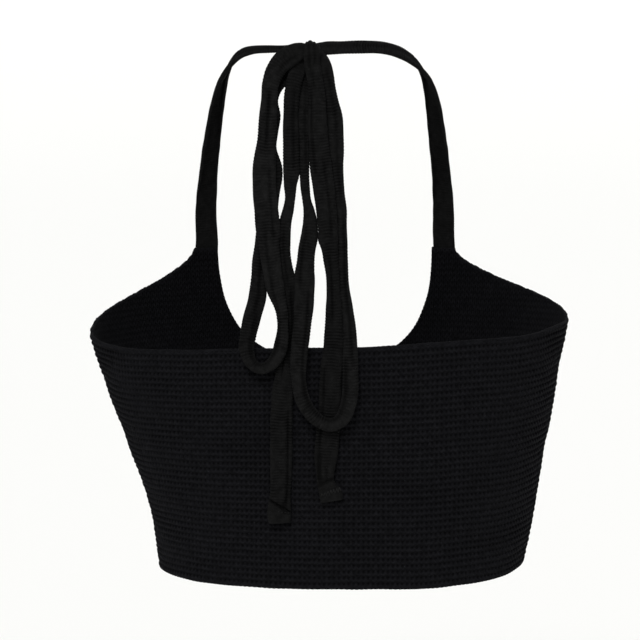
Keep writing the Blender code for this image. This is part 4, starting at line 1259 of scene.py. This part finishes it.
def tie_strip(name, middles, widths, thicks, looks, material, turned_hem=0.0):
    """Narrow knitted strip along its route, flat in the middle, with both long edges curled in behind."""
    ties = bpy.context.scene.halter_ties
    middles = np.array(middles, float)
    knots = along_line(middles)
    steps = np.linspace(0, knots[-1], round(knots[-1] / ties.course * RINGS_PER_ROW) + 1)
    rows = through(knots, np.column_stack((middles, widths, thicks, looks)), steps)
    path = rows[:, :3]
    ahead, face, across = frames_along(path, rows[:, 5:8])
    at = steps[:, None]
    bend = np.linalg.norm(np.gradient(ahead, axis=0), axis=1, keepdims=True) / steps[1]
    to_end = np.clip(np.minimum(at, knots[-1] - at) / PULLED_REACH, 0, 1)
    freed = to_end**2 * (3 - 2 * to_end)
    calm = (PULLED_SHARE + (1 - PULLED_SHARE) * freed) / (1 + (bend * BEND_REACH) ** 2)
    # The lengths inside the sines, in metres, are uneven beats
    wide = rows[:, 3:4] + ties.fuller * (1 + FULLNESS_VARIES * np.sin(at / 0.011) * np.sin(at / 0.0043))
    aside = LAID_ASIDE * np.sin(at / 0.019 + len(name))
    curl = np.maximum(rows[:, 4:5] / 2 - ties.cloth / 2, TIGHTEST_CURL)
    flat = np.maximum(wide / 2 - rows[:, 4:5] / 2, LEAST_FLAT)
    most = flat + math.pi * curl + np.maximum(flat - CURL_ROOM, 0.0)
    parts = []
    for count, outwards in ((OUTER_POINTS, 1), (INNER_POINTS, -1)):
        share = np.linspace(-outwards, outwards, count)[None]
        arc = np.abs(share) * np.minimum(ties.flat_width / 2 + np.sign(share) * aside, most)
        turned = np.clip((arc - flat) / curl, 0, math.pi)
        back = np.maximum(arc - flat - math.pi * curl, 0)
        sway, strength = uneven_rows(at, arc, calm)
        along = at / ties.course + sway
        out = outwards * ties.cloth / 2
        if outwards > 0:
            out = out + ties.relief / 2 * strength * (np.cos(TURN * along) - 1)
        x = np.sign(share) * (np.minimum(arc, flat) + np.sin(turned) * (curl + out) - back)
        front = np.clip(np.cos(turned), 0, 1)
        depth = pressed_in(name, knots, at, x)
        press = depth * MILLIMETRE
        if turned_hem:
            press -= HEM_STEP * np.clip((at - steps[-1] + turned_hem) / HEM_STEP_RUN, 0, 1)
        room = np.maximum(curl * 2 - ties.cloth, 0.0)
        y = np.cos(turned) * (curl + out) - np.minimum(press, room) * front
        side = np.sign(share) * arc / ties.course
        parts.append((x, y, side, along, depth * front, strength))
    x, y, side, along, depth, strength = (np.concatenate(part, axis=1) for part in zip(*parts))
    rings = path[:, None] + across[:, None] * x[..., None] + face[:, None] * y[..., None]
    uv = np.column_stack((side.ravel(), along.ravel()))
    # Painted shade: folds and tucks are painted darker with their depth, and a tie is painted darker where
    # it lies sheltered among the others
    shelter = PAINTED_SHELTER_SHADE.get(name, IN_THE_OPEN)
    shelter_shade = np.interp(np.interp(at, knots, np.arange(len(knots))), shelter.rows, shelter.dark)
    marks = {"painted_shade": np.clip(depth / DARK_FOLD + shelter_shade, 0, 1), "rows": strength}
    points = rings.reshape(-1, 3)
    piece = new_piece(name, points, ring_tube(rings), [material], uv=uv, sharp=TIE_CORNER, marks=marks)
    piece["length"] = float(knots[-1])
    return piece


def finish_tie(strip, node):
    dress(strip, "tie_jersey", node)
    strip.name = node + "_jersey"


def back_line(x, z):
    """The y of the back's face at x and z."""
    xs, ys, _ = half_section(z, True)
    return float(np.interp(-x, -xs, ys))


def bow_strip(name, rows, material, turned_hem=0.0):
    """Strip of the bow, hung against the back along its table's route."""
    middles = []
    for row in rows:
        x = row.x * MILLIMETRE
        z = row.z * MILLIMETRE
        middles.append((x, back_line(x, z) + row.out * MILLIMETRE, z))
    widths = [row.width * MILLIMETRE for row in rows]
    thicks = [row.thick * MILLIMETRE for row in rows]
    looks = [(0.0, 1.0, 0.0)] * len(rows)
    return tie_strip(name, middles, widths, thicks, looks, material, turned_hem)


def strap_table(rows, hand):
    """Middles, widths, thicknesses and looks of a strip whose table gives its own side's x."""
    middles = [(hand * row.x * MILLIMETRE, row.y * MILLIMETRE, row.z * MILLIMETRE) for row in rows]
    widths = [row.width * MILLIMETRE for row in rows]
    thicks = [row.thick * MILLIMETRE for row in rows]
    looks = [(hand * row.face_x, row.face_y, row.face_z) for row in rows]
    return middles, widths, thicks, looks


def strap_root(chart, hand):
    """The two places where a strap leaves its horn, and the way its face looks there."""
    sides = [arc_from_middle(HORN, hand * side, False) for side in (HORN_INNER, HORN_OUTER)]
    on_face, normals = on_chart(chart, np.array([sum(sides) / 2]), np.array([HORN]))
    face = Vector(normals[0])
    up = Vector((-hand * STRAP_ROOT_TURN_IN, STRAP_ROOT_LEAN, 1.0))
    up = (up - face * up.dot(face)).normalized()
    start = Vector(on_face[0]) - face * CLOTH / 2
    return [tuple(start - up * STRAP_LAP), tuple(start + up * STRAP_ROOT_RUN)], tuple(face)


def neck_strap(name, rows, hand, chart, material):
    """Strap from the top of a horn over the shoulder to the knot at the nape."""
    root, root_face = strap_root(chart, hand)
    middles, widths, thicks, looks = strap_table(rows, hand)
    return tie_strip(
        name,
        root + middles,
        list(STRAP_ROOT_WIDTHS) + widths,
        list(STRAP_ROOT_THICKS) + thicks,
        [root_face, root_face] + looks,
        material,
    )


def stitch_threads(name, stitches, radius, material):
    """Short arched stitches of thread, each from one place to another over a face that looks out."""
    points = []
    faces = []
    share = np.linspace(0, 1, THREAD_RINGS)[:, None]
    arch = radius * (THREAD_ARCH * np.sin(math.pi * share) - THREAD_SINK)
    wide = radius * np.sin(math.pi * (THREAD_END + (1 - 2 * THREAD_END) * share)) ** THREAD_TAPER
    for first, second, out in stitches:
        first = np.array(first, float)
        out = np.array(out, float)
        path = first + (np.array(second) - first) * share + out * arch
        _, face, across = frames_along(path, np.repeat(out[None], THREAD_RINGS, axis=0))
        rings = round_rings(path, face, across, THREAD_POINTS, wide, wide)
        faces += [tuple(len(points) + corner for corner in side) for side in ring_tube(rings)]
        points += rings.reshape(-1, 3).tolist()
    return new_piece(name, points, faces, [material])


def add_node(tree, kind, inputs=(), **settings):
    """Adds a node with its settings and links.

    Inputs are given in the order of the node's sockets, or by their names or numbers. Each one is a value,
    the output of another node, or another node, which then gives its first output.
    """
    node = tree.nodes.new(kind)
    for name, value in settings.items():
        setattr(node, name, value)
    for socket, value in inputs.items() if isinstance(inputs, dict) else enumerate(inputs):
        if isinstance(value, bpy.types.Node):
            value = value.outputs[0]
        if isinstance(value, bpy.types.NodeSocket):
            tree.links.new(value, node.inputs[socket])
        else:
            node.inputs[socket].default_value = value
    return node


def weigh(tree, *parts):
    """Sum of values, each times its weight."""
    total = 0.0
    for value, weight in parts:
        total = add_node(tree, MATHS, (value, weight, total), operation="MULTIPLY_ADD")
    return total


def swing_round(tree, turns):
    """Value that swings from 1 to -1 and back once in every turn."""
    angle = add_node(tree, MATHS, (turns, TURN), operation="MULTIPLY")
    return add_node(tree, MATHS, (angle,), operation="COSINE")


def yarn_material(name, roughness, sheen=0.02, specular=0.03):
    """New material of black yarn: its loose fibres take nearly all gloss away and leave a faint sheen."""
    material = bpy.data.materials.new(name)
    material.use_nodes = True
    tree = material.node_tree
    values = {
        "Roughness": roughness,
        "Metallic": 0.0,
        "IOR": 1.5,
        "Specular IOR Level": specular,
        "Sheen Weight": sheen,
        "Sheen Roughness": 0.45,
        "Sheen Tint": (*linear("#95959c"), 1.0),
    }
    for socket, value in values.items():
        tree.nodes["Principled BSDF"].inputs[socket].default_value = value
    return material, tree, add_node(tree, "ShaderNodeTexCoord").outputs["Object"]


def stitch_places(tree):
    """Where a place on the cloth lies across it and along it, in stitches and rows."""
    stitches = add_node(tree, "ShaderNodeUVMap", uv_map="Stitches").outputs["UV"]
    parts = add_node(tree, "ShaderNodeSeparateXYZ", (stitches,)).outputs
    return parts[0], parts[1]


def yarn_colour(tree, where, colour, shade):
    """Yarn colour that varies a little from place to place, with lint and painted highlight, and sinks to
    near black in painted shade where shade is high.
    """
    # Lint and loose fibre with painted highlight: some stitches are painted lighter, as if they caught more
    # light, in patches of 3 mm with flecks of 1 mm
    size = {"Vector": where, "Scale": 1 / LINT_AND_HIGHLIGHT_PATCH, "Detail": 3.0, "Roughness": 0.6}
    patches = add_node(tree, NOISE, size).outputs["Fac"]
    limits = {"Value": patches, "From Min": 0.30, "From Max": 0.75}
    lint_and_highlight = add_node(tree, "ShaderNodeMapRange", limits).outputs["Result"]
    dim, light, deep = ((*(min(part * gain, 1.0) for part in colour), 1.0) for gain in YARN_GAINS)
    mixed = add_node(tree, "ShaderNodeMix", {0: lint_and_highlight, 6: dim, 7: light}, data_type="RGBA").outputs[2]
    return add_node(tree, "ShaderNodeMix", {0: shade, 6: mixed, 7: deep}, data_type="RGBA").outputs[2]


def finish_cloth(material, where, colour, shade, height, deep, strength=1.0):
    """Gives a material its colour, with painted shade, and its fine relief, whose full height is deep
    metres.
    """
    tree = material.node_tree
    shader = tree.nodes["Principled BSDF"]
    tree.links.new(yarn_colour(tree, where, colour, shade), shader.inputs["Base Color"])
    bump = add_node(tree, "ShaderNodeBump", {"Height": height, "Strength": strength, "Distance": deep})
    tree.links.new(bump.outputs["Normal"], shader.inputs["Normal"])
    return material


def purl_knit_material(colour):
    """Cotton yarn knitted purl side out: matt, in soft rows of beads with small dark holes between them."""
    material, tree, where = yarn_material("black_cotton_purl_knit", 0.92)
    wales, courses = stitch_places(tree)
    swing = swing_round(tree, add_node(tree, MATHS, (wales, 0.5), operation="ADD"))
    low = add_node(tree, MATHS, (courses, 0.5), operation="SUBTRACT")
    ridge = swing_round(tree, weigh(tree, (low, 1.0), (swing, -ROW_SWING)))
    groove = add_node(tree, MATHS, (ridge, -0.5, 0.5), operation="MULTIPLY_ADD")
    between = add_node(tree, MATHS, (swing, -0.5, 0.5), operation="MULTIPLY_ADD")
    gap = add_node(tree, MATHS, (groove, between), operation="MULTIPLY")
    hole = add_node(tree, MATHS, (gap, 2.0), operation="POWER")
    painted_shade = add_node(tree, "ShaderNodeAttribute", attribute_name="painted_shade").outputs["Fac"]
    # Painted shade: the grooves between rows, the holes and the troughs of creases are painted darker
    shade = weigh(tree, (groove, 0.42), (hole, 0.45), (painted_shade, 0.30))
    # Plies that slant round the yarn, about 0.65 mm apart; real ones are finer and would not show
    plies = swing_round(tree, weigh(tree, (courses, 2.6), (wales, 4.6)))
    # Fibre ends about 0.4 mm apart, coarser than real lint so that they show
    fuzz = add_node(tree, NOISE, {"Vector": where, "Scale": 1 / KNIT_FUZZ, "Detail": 2.0})
    height = weigh(tree, (ridge, 0.8), (hole, -1.6), (fuzz, 0.55), (plies, 0.12))
    return finish_cloth(material, where, colour, shade, height, 0.28 * MILLIMETRE)


def plain_knit_material(colour):
    """The same cloth from inside: the plain side, where each column of stitches is a line of small Vs."""
    material, tree, where = yarn_material("black_cotton_plain_knit", 0.92)
    wales, courses = stitch_places(tree)
    across = add_node(tree, MATHS, (wales,), operation="FRACT")
    off_middle = add_node(tree, MATHS, (across, 0.5), operation="SUBTRACT")
    leg = add_node(tree, MATHS, (off_middle,), operation="ABSOLUTE")
    off_leg = add_node(tree, MATHS, (leg, LEG_PLACE), operation="SUBTRACT")
    rib = swing_round(tree, weigh(tree, (off_leg, 2.0)))
    beat = swing_round(tree, weigh(tree, (courses, 1.0), (leg, -LEG_SLANT)))
    open_beat = add_node(tree, MATHS, (beat, -0.25, 0.5), operation="MULTIPLY_ADD")
    groove = weigh(tree, (open_beat, 1.0), (rib, -0.25))
    # Fibre ends as on the outer face
    fuzz = add_node(tree, NOISE, {"Vector": where, "Scale": 1 / KNIT_FUZZ, "Detail": 2.0})
    height = weigh(tree, (groove, -1.6), (fuzz, 0.3))
    # Painted shade in the grooves between the legs and rows of the Vs
    return finish_cloth(material, where, colour, weigh(tree, (groove, 0.8)), height, 0.45 * MILLIMETRE)


def jersey_material(colour):
    """Narrow jersey of the ties: fine rows straight across, 2 mm apart, and a slightly cleaner surface."""
    material, tree, where = yarn_material("black_jersey", 0.90)
    across, along = stitch_places(tree)
    row = swing_round(tree, along)
    # Columns of stitches 1.2 mm apart run along the tie
    column = swing_round(tree, weigh(tree, (across, 1.7)))
    groove = add_node(tree, MATHS, (row, -0.5, 0.5), operation="MULTIPLY_ADD")
    strength = add_node(tree, "ShaderNodeAttribute", attribute_name="rows").outputs["Fac"]
    painted_shade = add_node(tree, "ShaderNodeAttribute", attribute_name="painted_shade").outputs["Fac"]
    narrow = add_node(tree, MATHS, (groove, 1.5), operation="POWER")
    lines = add_node(tree, MATHS, (narrow, strength), operation="MULTIPLY")
    # Painted shade: the grooves between rows, the deeper parts of folds and ties that lie sheltered are
    # painted darker, as they hold less light than the flat does
    shade = weigh(tree, (painted_shade, 0.75), (lines, 0.65))
    # Fibre ends about 0.45 mm apart
    fuzz = add_node(tree, NOISE, {"Vector": where, "Scale": JERSEY_FUZZ_SCALE, "Detail": 2.0})
    ribs = add_node(tree, MATHS, (row, strength), operation="MULTIPLY")
    height = weigh(tree, (ribs, 0.5), (column, 0.14), (fuzz, 0.45))
    return finish_cloth(material, where, colour, shade, height, 0.22 * MILLIMETRE)


def thread_material(colour):
    """Spun polyester sewing thread: the same black with a small gleam along its twist."""
    material, tree, where = yarn_material("black_sewing_thread", 0.60, sheen=0.0, specular=0.08)
    # Twist drawn about every 0.7 mm; a real one is near 0.3 mm
    size = {"Vector": where, "Scale": TWIST_SCALE, "Distortion": 1.5}
    twist = add_node(tree, "ShaderNodeTexWave", size, bands_direction="DIAGONAL").outputs["Fac"]
    # Painted shade in the grooves of the twist
    return finish_cloth(material, where, colour, weigh(tree, (twist, 0.4)), twist, 0.1 * MILLIMETRE, 0.8)


def floor_material(colour):
    """Matt painted board: plain and pale, with a barely uneven coat."""
    material = bpy.data.materials.new("matt_painted_floor")
    material.use_nodes = True
    tree = material.node_tree
    shader = tree.nodes["Principled BSDF"]
    shader.inputs["Base Color"].default_value = (*colour, 1.0)
    shader.inputs["Roughness"].default_value = 0.9
    shader.inputs["Specular IOR Level"].default_value = 0.1
    where = add_node(tree, "ShaderNodeTexCoord").outputs["Object"]
    coat = add_node(tree, NOISE, {"Vector": where, "Scale": 60.0, "Detail": 3.0})
    bump = add_node(tree, "ShaderNodeBump", {"Height": coat, "Strength": 0.1, "Distance": 0.5 * MILLIMETRE})
    tree.links.new(bump.outputs["Normal"], shader.inputs["Normal"])
    return material


def shared_material(name, make, colour):
    """The material of that name, made on its first use."""
    return bpy.data.materials.get(name) or make(tuple(colour))


def knit_materials():
    """Outer and inner materials of the panels."""
    yarn = bpy.context.scene.halter_colours.yarn
    return [
        shared_material("black_cotton_purl_knit", purl_knit_material, yarn),
        shared_material("black_cotton_plain_knit", plain_knit_material, yarn),
    ]


def tie_material():
    """Material of the ties."""
    return shared_material("black_jersey", jersey_material, bpy.context.scene.halter_colours.jersey)


def sewing_thread():
    """Material of the stitches."""
    return shared_material("black_sewing_thread", thread_material, bpy.context.scene.halter_colours.thread)


def deselect_all():
    """Leaves nothing selected, so that what follows acts on its own piece."""
    for piece in bpy.context.selected_objects:
        piece.select_set(False)


class HALTERTOP_OT_back_panel(bpy.types.Operator):
    """Knits the band across the back and binds its edges."""

    bl_idname = "halter_top.back_panel"
    bl_label = "Back Panel"

    def execute(self, context):
        chart = chart_torso(True)
        hem = edge_across(chart, BACK_HEM)
        top = edge_across(chart, BACK_TOP)
        outline = panel_outline(chart, hem, top)
        materials = knit_materials()
        panel = knit_panel("back_panel", chart, outline, Rows(hem, top), BACK_CREASES, materials)
        panel.name = "back_panel_knit"
        edges = [
            bound_edge("back_hem_edge", chart, outline.hem, 1, materials[0]),
            bound_edge("back_top_edge", chart, top, 1, materials[0]),
        ]
        return {"FINISHED"}


class HALTERTOP_OT_front_panel(bpy.types.Operator):
    """Knits the front with its scoop and two horns and binds its edges."""

    bl_idname = "halter_top.front_panel"
    bl_label = "Front Panel"

    def execute(self, context):
        chart = chart_torso(False)
        scoop = np.concatenate((neckline_curve(1)[::-1], neckline_curve(-1)[1:]))
        left = armhole_curve(1)
        right = armhole_curve(-1)
        hem = edge_across(chart, FRONT_HEM)
        outline = panel_outline(chart, hem, np.concatenate((left, scoop, right[::-1])))
        rows = Rows(hem, np.array((left[0], right[0])))
        materials = knit_materials()
        panel = knit_panel("front_panel", chart, outline, rows, FRONT_CREASES, materials)
        panel.name = "front_panel_knit"
        edges = [
            bound_edge("front_hem_edge", chart, outline.hem, 1, materials[0]),
            bound_edge("neckline_edge", chart, scoop, 1, materials[0]),
            bound_edge("left_armhole_edge", chart, left, 1, materials[0]),
            bound_edge("right_armhole_edge", chart, right, -1, materials[0]),
        ]
        return {"FINISHED"}


class HALTERTOP_OT_straps(bpy.types.Operator):
    """Runs the two ties from the horns over the shoulders to the nape."""

    bl_idname = "halter_top.straps"
    bl_label = "Neck Straps"

    def execute(self, context):
        chart = chart_torso(False)
        for name, rows, hand in (("strap_left", STRAP_LEFT, 1), ("strap_right", STRAP_RIGHT, -1)):
            finish_tie(neck_strap(name, rows, hand, chart, tie_material()), name)
        return {"FINISHED"}


class HALTERTOP_OT_bow(bpy.types.Operator):
    """Hangs the bow's two loops and two tails down the back."""

    bl_idname = "halter_top.bow"
    bl_label = "Bow"

    def execute(self, context):
        strips = (
            ("loop_left", LOOP_LEFT, 0.0),
            ("loop_right", LOOP_RIGHT, 0.0),
            ("tail_left", TAIL_LEFT, TURNED_HEM),
            ("tail_right", TAIL_RIGHT, 0.0),
        )
        for name, rows, turned_hem in strips:
            finish_tie(bow_strip(name, rows, tie_material(), turned_hem), name)
        return {"FINISHED"}


class HALTERTOP_OT_knot(bpy.types.Operator):
    """Ties the knot: a pressed core of cloth and the turn of the tie that goes over it."""

    bl_idname = "halter_top.knot"
    bl_label = "Knot"

    def execute(self, context):
        deselect_all()
        bpy.ops.mesh.primitive_uv_sphere_add(
            segments=KNOT_SEGMENTS, ring_count=KNOT_RINGS, radius=1.0, location=(0, 0, 0)
        )
        core = bpy.context.object
        core.name = "knot_core"
        for vertex in core.data.vertices:
            way = vertex.co.normalized()
            around = math.atan2(way.z, way.x)
            gathers = 0.0
            for gather in KNOT_GATHERS:
                gathers += gather.deep * math.sin(gather.count * around + gather.lean * way.y)
            lumps = KNOT_LUMPS * math.sin(5 * way.z + 3 * way.x)
            pressed = 1 + gathers * (1 - way.y**2) + lumps
            vertex.co = KNOT_MIDDLE + Vector(way[k] * KNOT_HALF[k] * pressed for k in range(3))
        layer = core.data.uv_layers[0]
        layer.name = "Stitches"
        for corner in layer.data:
            corner.uv = (corner.uv[0] * KNOT_ROWS, corner.uv[1] * KNOT_COLUMNS)
        core.data.shade_smooth()
        core.data.materials.append(tie_material())
        dress(core, "tie_jersey", "neck_knot")
        wrap = tie_strip("knot_wrap", *strap_table(KNOT_WRAP, 1), tie_material())
        dress(wrap, "tie_jersey")
        return {"FINISHED"}


class HALTERTOP_OT_sewing(bpy.types.Operator):
    """Sews the side seams, the joins of the straps and the ends of the tails."""

    bl_idname = "halter_top.sewing"
    bl_label = "Sewing"

    def execute(self, context):
        thread = sewing_thread()
        front = chart_torso(False)
        self.side_seam("left", 1, BACK_HEM[0].height, UNDERARM_LEFT, front, thread)
        self.side_seam("right", -1, BACK_HEM[-1].height, UNDERARM_RIGHT, front, thread)
        self.strap_join("left", 1, front, thread)
        self.strap_join("right", -1, front, thread)
        self.overlock(thread)
        self.hem_stitches(thread)
        return {"FINISHED"}

    def side_seam(self, side, hand, hem, underarm, front, thread):
        """Stitches across a side seam, and the narrow join of cloth behind them."""
        reach = front.left if hand > 0 else front.right
        heights = np.arange(HEM + SEAM_FROM_HEM, underarm - SEAM_FROM_UNDERARM, SEAM_PITCH)
        on_face, normals = on_chart(front, hand * np.interp(heights, front.heights, reach), heights)
        stitches = []
        for place, out in zip(on_face - normals * SEAM_SUNK, normals):
            stitches.append((place - SEAM_REACH, place + SEAM_REACH, out))
        dress(stitch_threads(side + "_side_seam", stitches, SEAM_THREAD, thread), "panel_knit")
        rise = np.linspace(hem, underarm, JOIN_PLACES)
        seam = np.column_stack((hand * np.interp(rise, front.heights, reach), rise))
        bound_edge(side + "_side_join", front, seam, 0, knit_materials()[1], JOIN_RADIUS)

    def strap_join(self, side, hand, front, thread):
        """Row of stitches that holds a strap to its horn."""
        root, face = strap_root(front, hand)
        face = np.array(face)
        up = np.array(root[1]) - np.array(root[0])
        up /= np.linalg.norm(up)
        across = np.cross(up, face)
        stitches = []
        for off in np.linspace(-STRAP_STITCH_SPAN, STRAP_STITCH_SPAN, STRAP_STITCHES):
            place = np.array(root[0]) + across * off + face * STRAP_STITCH_OUT
            stitches.append((place - up * STRAP_STITCH_DOWN, place + up * STRAP_STITCH_UP, face))
        dress(stitch_threads(side + "_strap_join", stitches, STRAP_THREAD, thread), "tie_jersey")

    def overlock(self, thread):
        """Zigzag of overlock thread across the right tail's cut end, slanting up to one side."""
        places = []
        for k in range(2 * OVERLOCK_TEETH + 1):
            x, z = OVERLOCK_START + OVERLOCK_RUN * k / (2 * OVERLOCK_TEETH)
            z += OVERLOCK_HALF if k % 2 else -OVERLOCK_HALF
            places.append((x, back_line(x, z) + OVERLOCK_OUT, z))
        stitches = [(first, second, (0, 1, 0)) for first, second in zip(places, places[1:])]
        dress(stitch_threads("tail_right_overlock", stitches, OVERLOCK_THREAD, thread), "tie_jersey")

    def hem_stitches(self, thread):
        """Row of small stitches that holds the left tail's turned hem."""
        stitches = []
        for k in range(HEM_STITCHES):
            x, z = HEM_START + HEM_PITCH * k
            y = back_line(x, z) + HEM_STITCH_OUT
            stitches.append(((x, y, z), (x - HEM_STITCH, y, z), (0, 1, 0)))
        dress(stitch_threads("tail_left_hem_stitches", stitches, HEM_THREAD, thread), "tie_jersey")


class HALTERTOP_OT_stage(bpy.types.Operator):
    """Sets the pale floor, the soft light and the camera behind the garment."""

    bl_idname = "halter_top.stage"
    bl_label = "Stage"

    def execute(self, context):
        scene = context.scene
        stage = scene.halter_stage
        colours = scene.halter_colours
        deselect_all()
        bpy.ops.mesh.primitive_circle_add(
            vertices=FLOOR_POINTS,
            radius=stage.floor_flat,
            fill_type="NGON",
            location=(0, 0, stage.floor_height),
        )
        floor = bpy.context.object
        floor.name = "floor"
        self.sweep_up(stage)
        floor.data.materials.append(floor_material(tuple(colours.floor)))
        world = bpy.data.worlds.new("pale_surroundings")
        world.use_nodes = True
        world.node_tree.nodes["Background"].inputs["Color"].default_value = (*colours.air, 1.0)
        world.node_tree.nodes["Background"].inputs["Strength"].default_value = stage.air_strength
        scene.world = world
        for name, place, strength in (
            ("soft_key", KEY_PLACE, stage.key_strength),
            ("soft_front", FRONT_PLACE, stage.front_strength),
        ):
            bpy.ops.object.light_add(type="SUN", location=place)
            light = bpy.context.object
            light.name = name
            light.data.energy = strength
            light.data.angle = math.radians(LIGHT_SPREAD)
            light.rotation_euler = Vector(place).to_track_quat("Z", "Y").to_euler()
        camera = bpy.data.objects.new("camera", bpy.data.cameras.new("camera"))
        scene.collection.objects.link(camera)
        camera.data.lens = stage.lens
        camera.data.sensor_width = SENSOR_WIDTH
        camera.location = stage.camera_place
        aim = Vector(stage.camera_aim) - Vector(stage.camera_place)
        camera.rotation_euler = aim.to_track_quat("-Z", "Y").to_euler()
        scene.camera = camera
        scene.view_settings.view_transform = "Standard"
        scene.view_settings.look = "None"
        return {"FINISHED"}

    def sweep_up(self, stage):
        """Carries the floor's rim outwards and gently up, so that low views meet no bare horizon."""
        shares = np.linspace(0, 1, SWEEP_STEPS + 1)
        radii = stage.floor_flat + (stage.sweep_reach - stage.floor_flat) * shares
        rises = stage.sweep_rise * np.clip((shares - shares[1]) / (1 - shares[1]), 0, 1) ** 2
        bpy.ops.object.mode_set(mode="EDIT")
        bpy.ops.mesh.select_mode(type="EDGE")
        bpy.ops.mesh.select_all(action="SELECT")
        for k in range(SWEEP_STEPS):
            grow = radii[k + 1] / radii[k]
            bpy.ops.mesh.extrude_edges_move()
            bpy.ops.transform.resize(value=(grow, grow, 1.0), center_override=(0, 0, 0))
            bpy.ops.transform.translate(value=(0, 0, rises[k + 1] - rises[k]))
        bpy.ops.object.mode_set(mode="OBJECT")
        bpy.ops.object.shade_smooth()


OPERATORS = (
    HALTERTOP_OT_back_panel,
    HALTERTOP_OT_front_panel,
    HALTERTOP_OT_straps,
    HALTERTOP_OT_bow,
    HALTERTOP_OT_knot,
    HALTERTOP_OT_sewing,
    HALTERTOP_OT_stage,
)
SETTINGS = (
    ("halter_knit", HALTERTOP_PG_knit),
    ("halter_ties", HALTERTOP_PG_ties),
    ("halter_colours", HALTERTOP_PG_colours),
    ("halter_stage", HALTERTOP_PG_stage),
)


class HALTERTOP_PT_tools(bpy.types.Panel):
    """Lists the pieces and their sizes and colours in the sidebar."""

    bl_label = "Halter Top"
    bl_idname = "HALTERTOP_PT_tools"
    bl_space_type = "VIEW_3D"
    bl_region_type = "UI"
    bl_category = "Halter Top"

    def draw(self, context):
        for operator in OPERATORS:
            self.layout.operator(operator.bl_idname)
        for name, group in SETTINGS:
            box = self.layout.box()
            for key in group.__annotations__:
                box.prop(getattr(context.scene, name), key)


def register():
    for name, group in SETTINGS:
        bpy.utils.register_class(group)
        setattr(bpy.types.Scene, name, PointerProperty(type=group))
    for operator in OPERATORS:
        bpy.utils.register_class(operator)
    bpy.utils.register_class(HALTERTOP_PT_tools)


def unregister():
    bpy.utils.unregister_class(HALTERTOP_PT_tools)
    for operator in reversed(OPERATORS):
        bpy.utils.unregister_class(operator)
    for name, group in reversed(SETTINGS):
        delattr(bpy.types.Scene, name)
        bpy.utils.unregister_class(group)


def main():
    register()
    bpy.ops.halter_top.stage()
    bpy.ops.halter_top.back_panel()
    bpy.ops.halter_top.front_panel()
    bpy.ops.halter_top.straps()
    bpy.ops.halter_top.bow()
    bpy.ops.halter_top.knot()
    bpy.ops.halter_top.sewing()


if __name__ == "__main__":
    main()
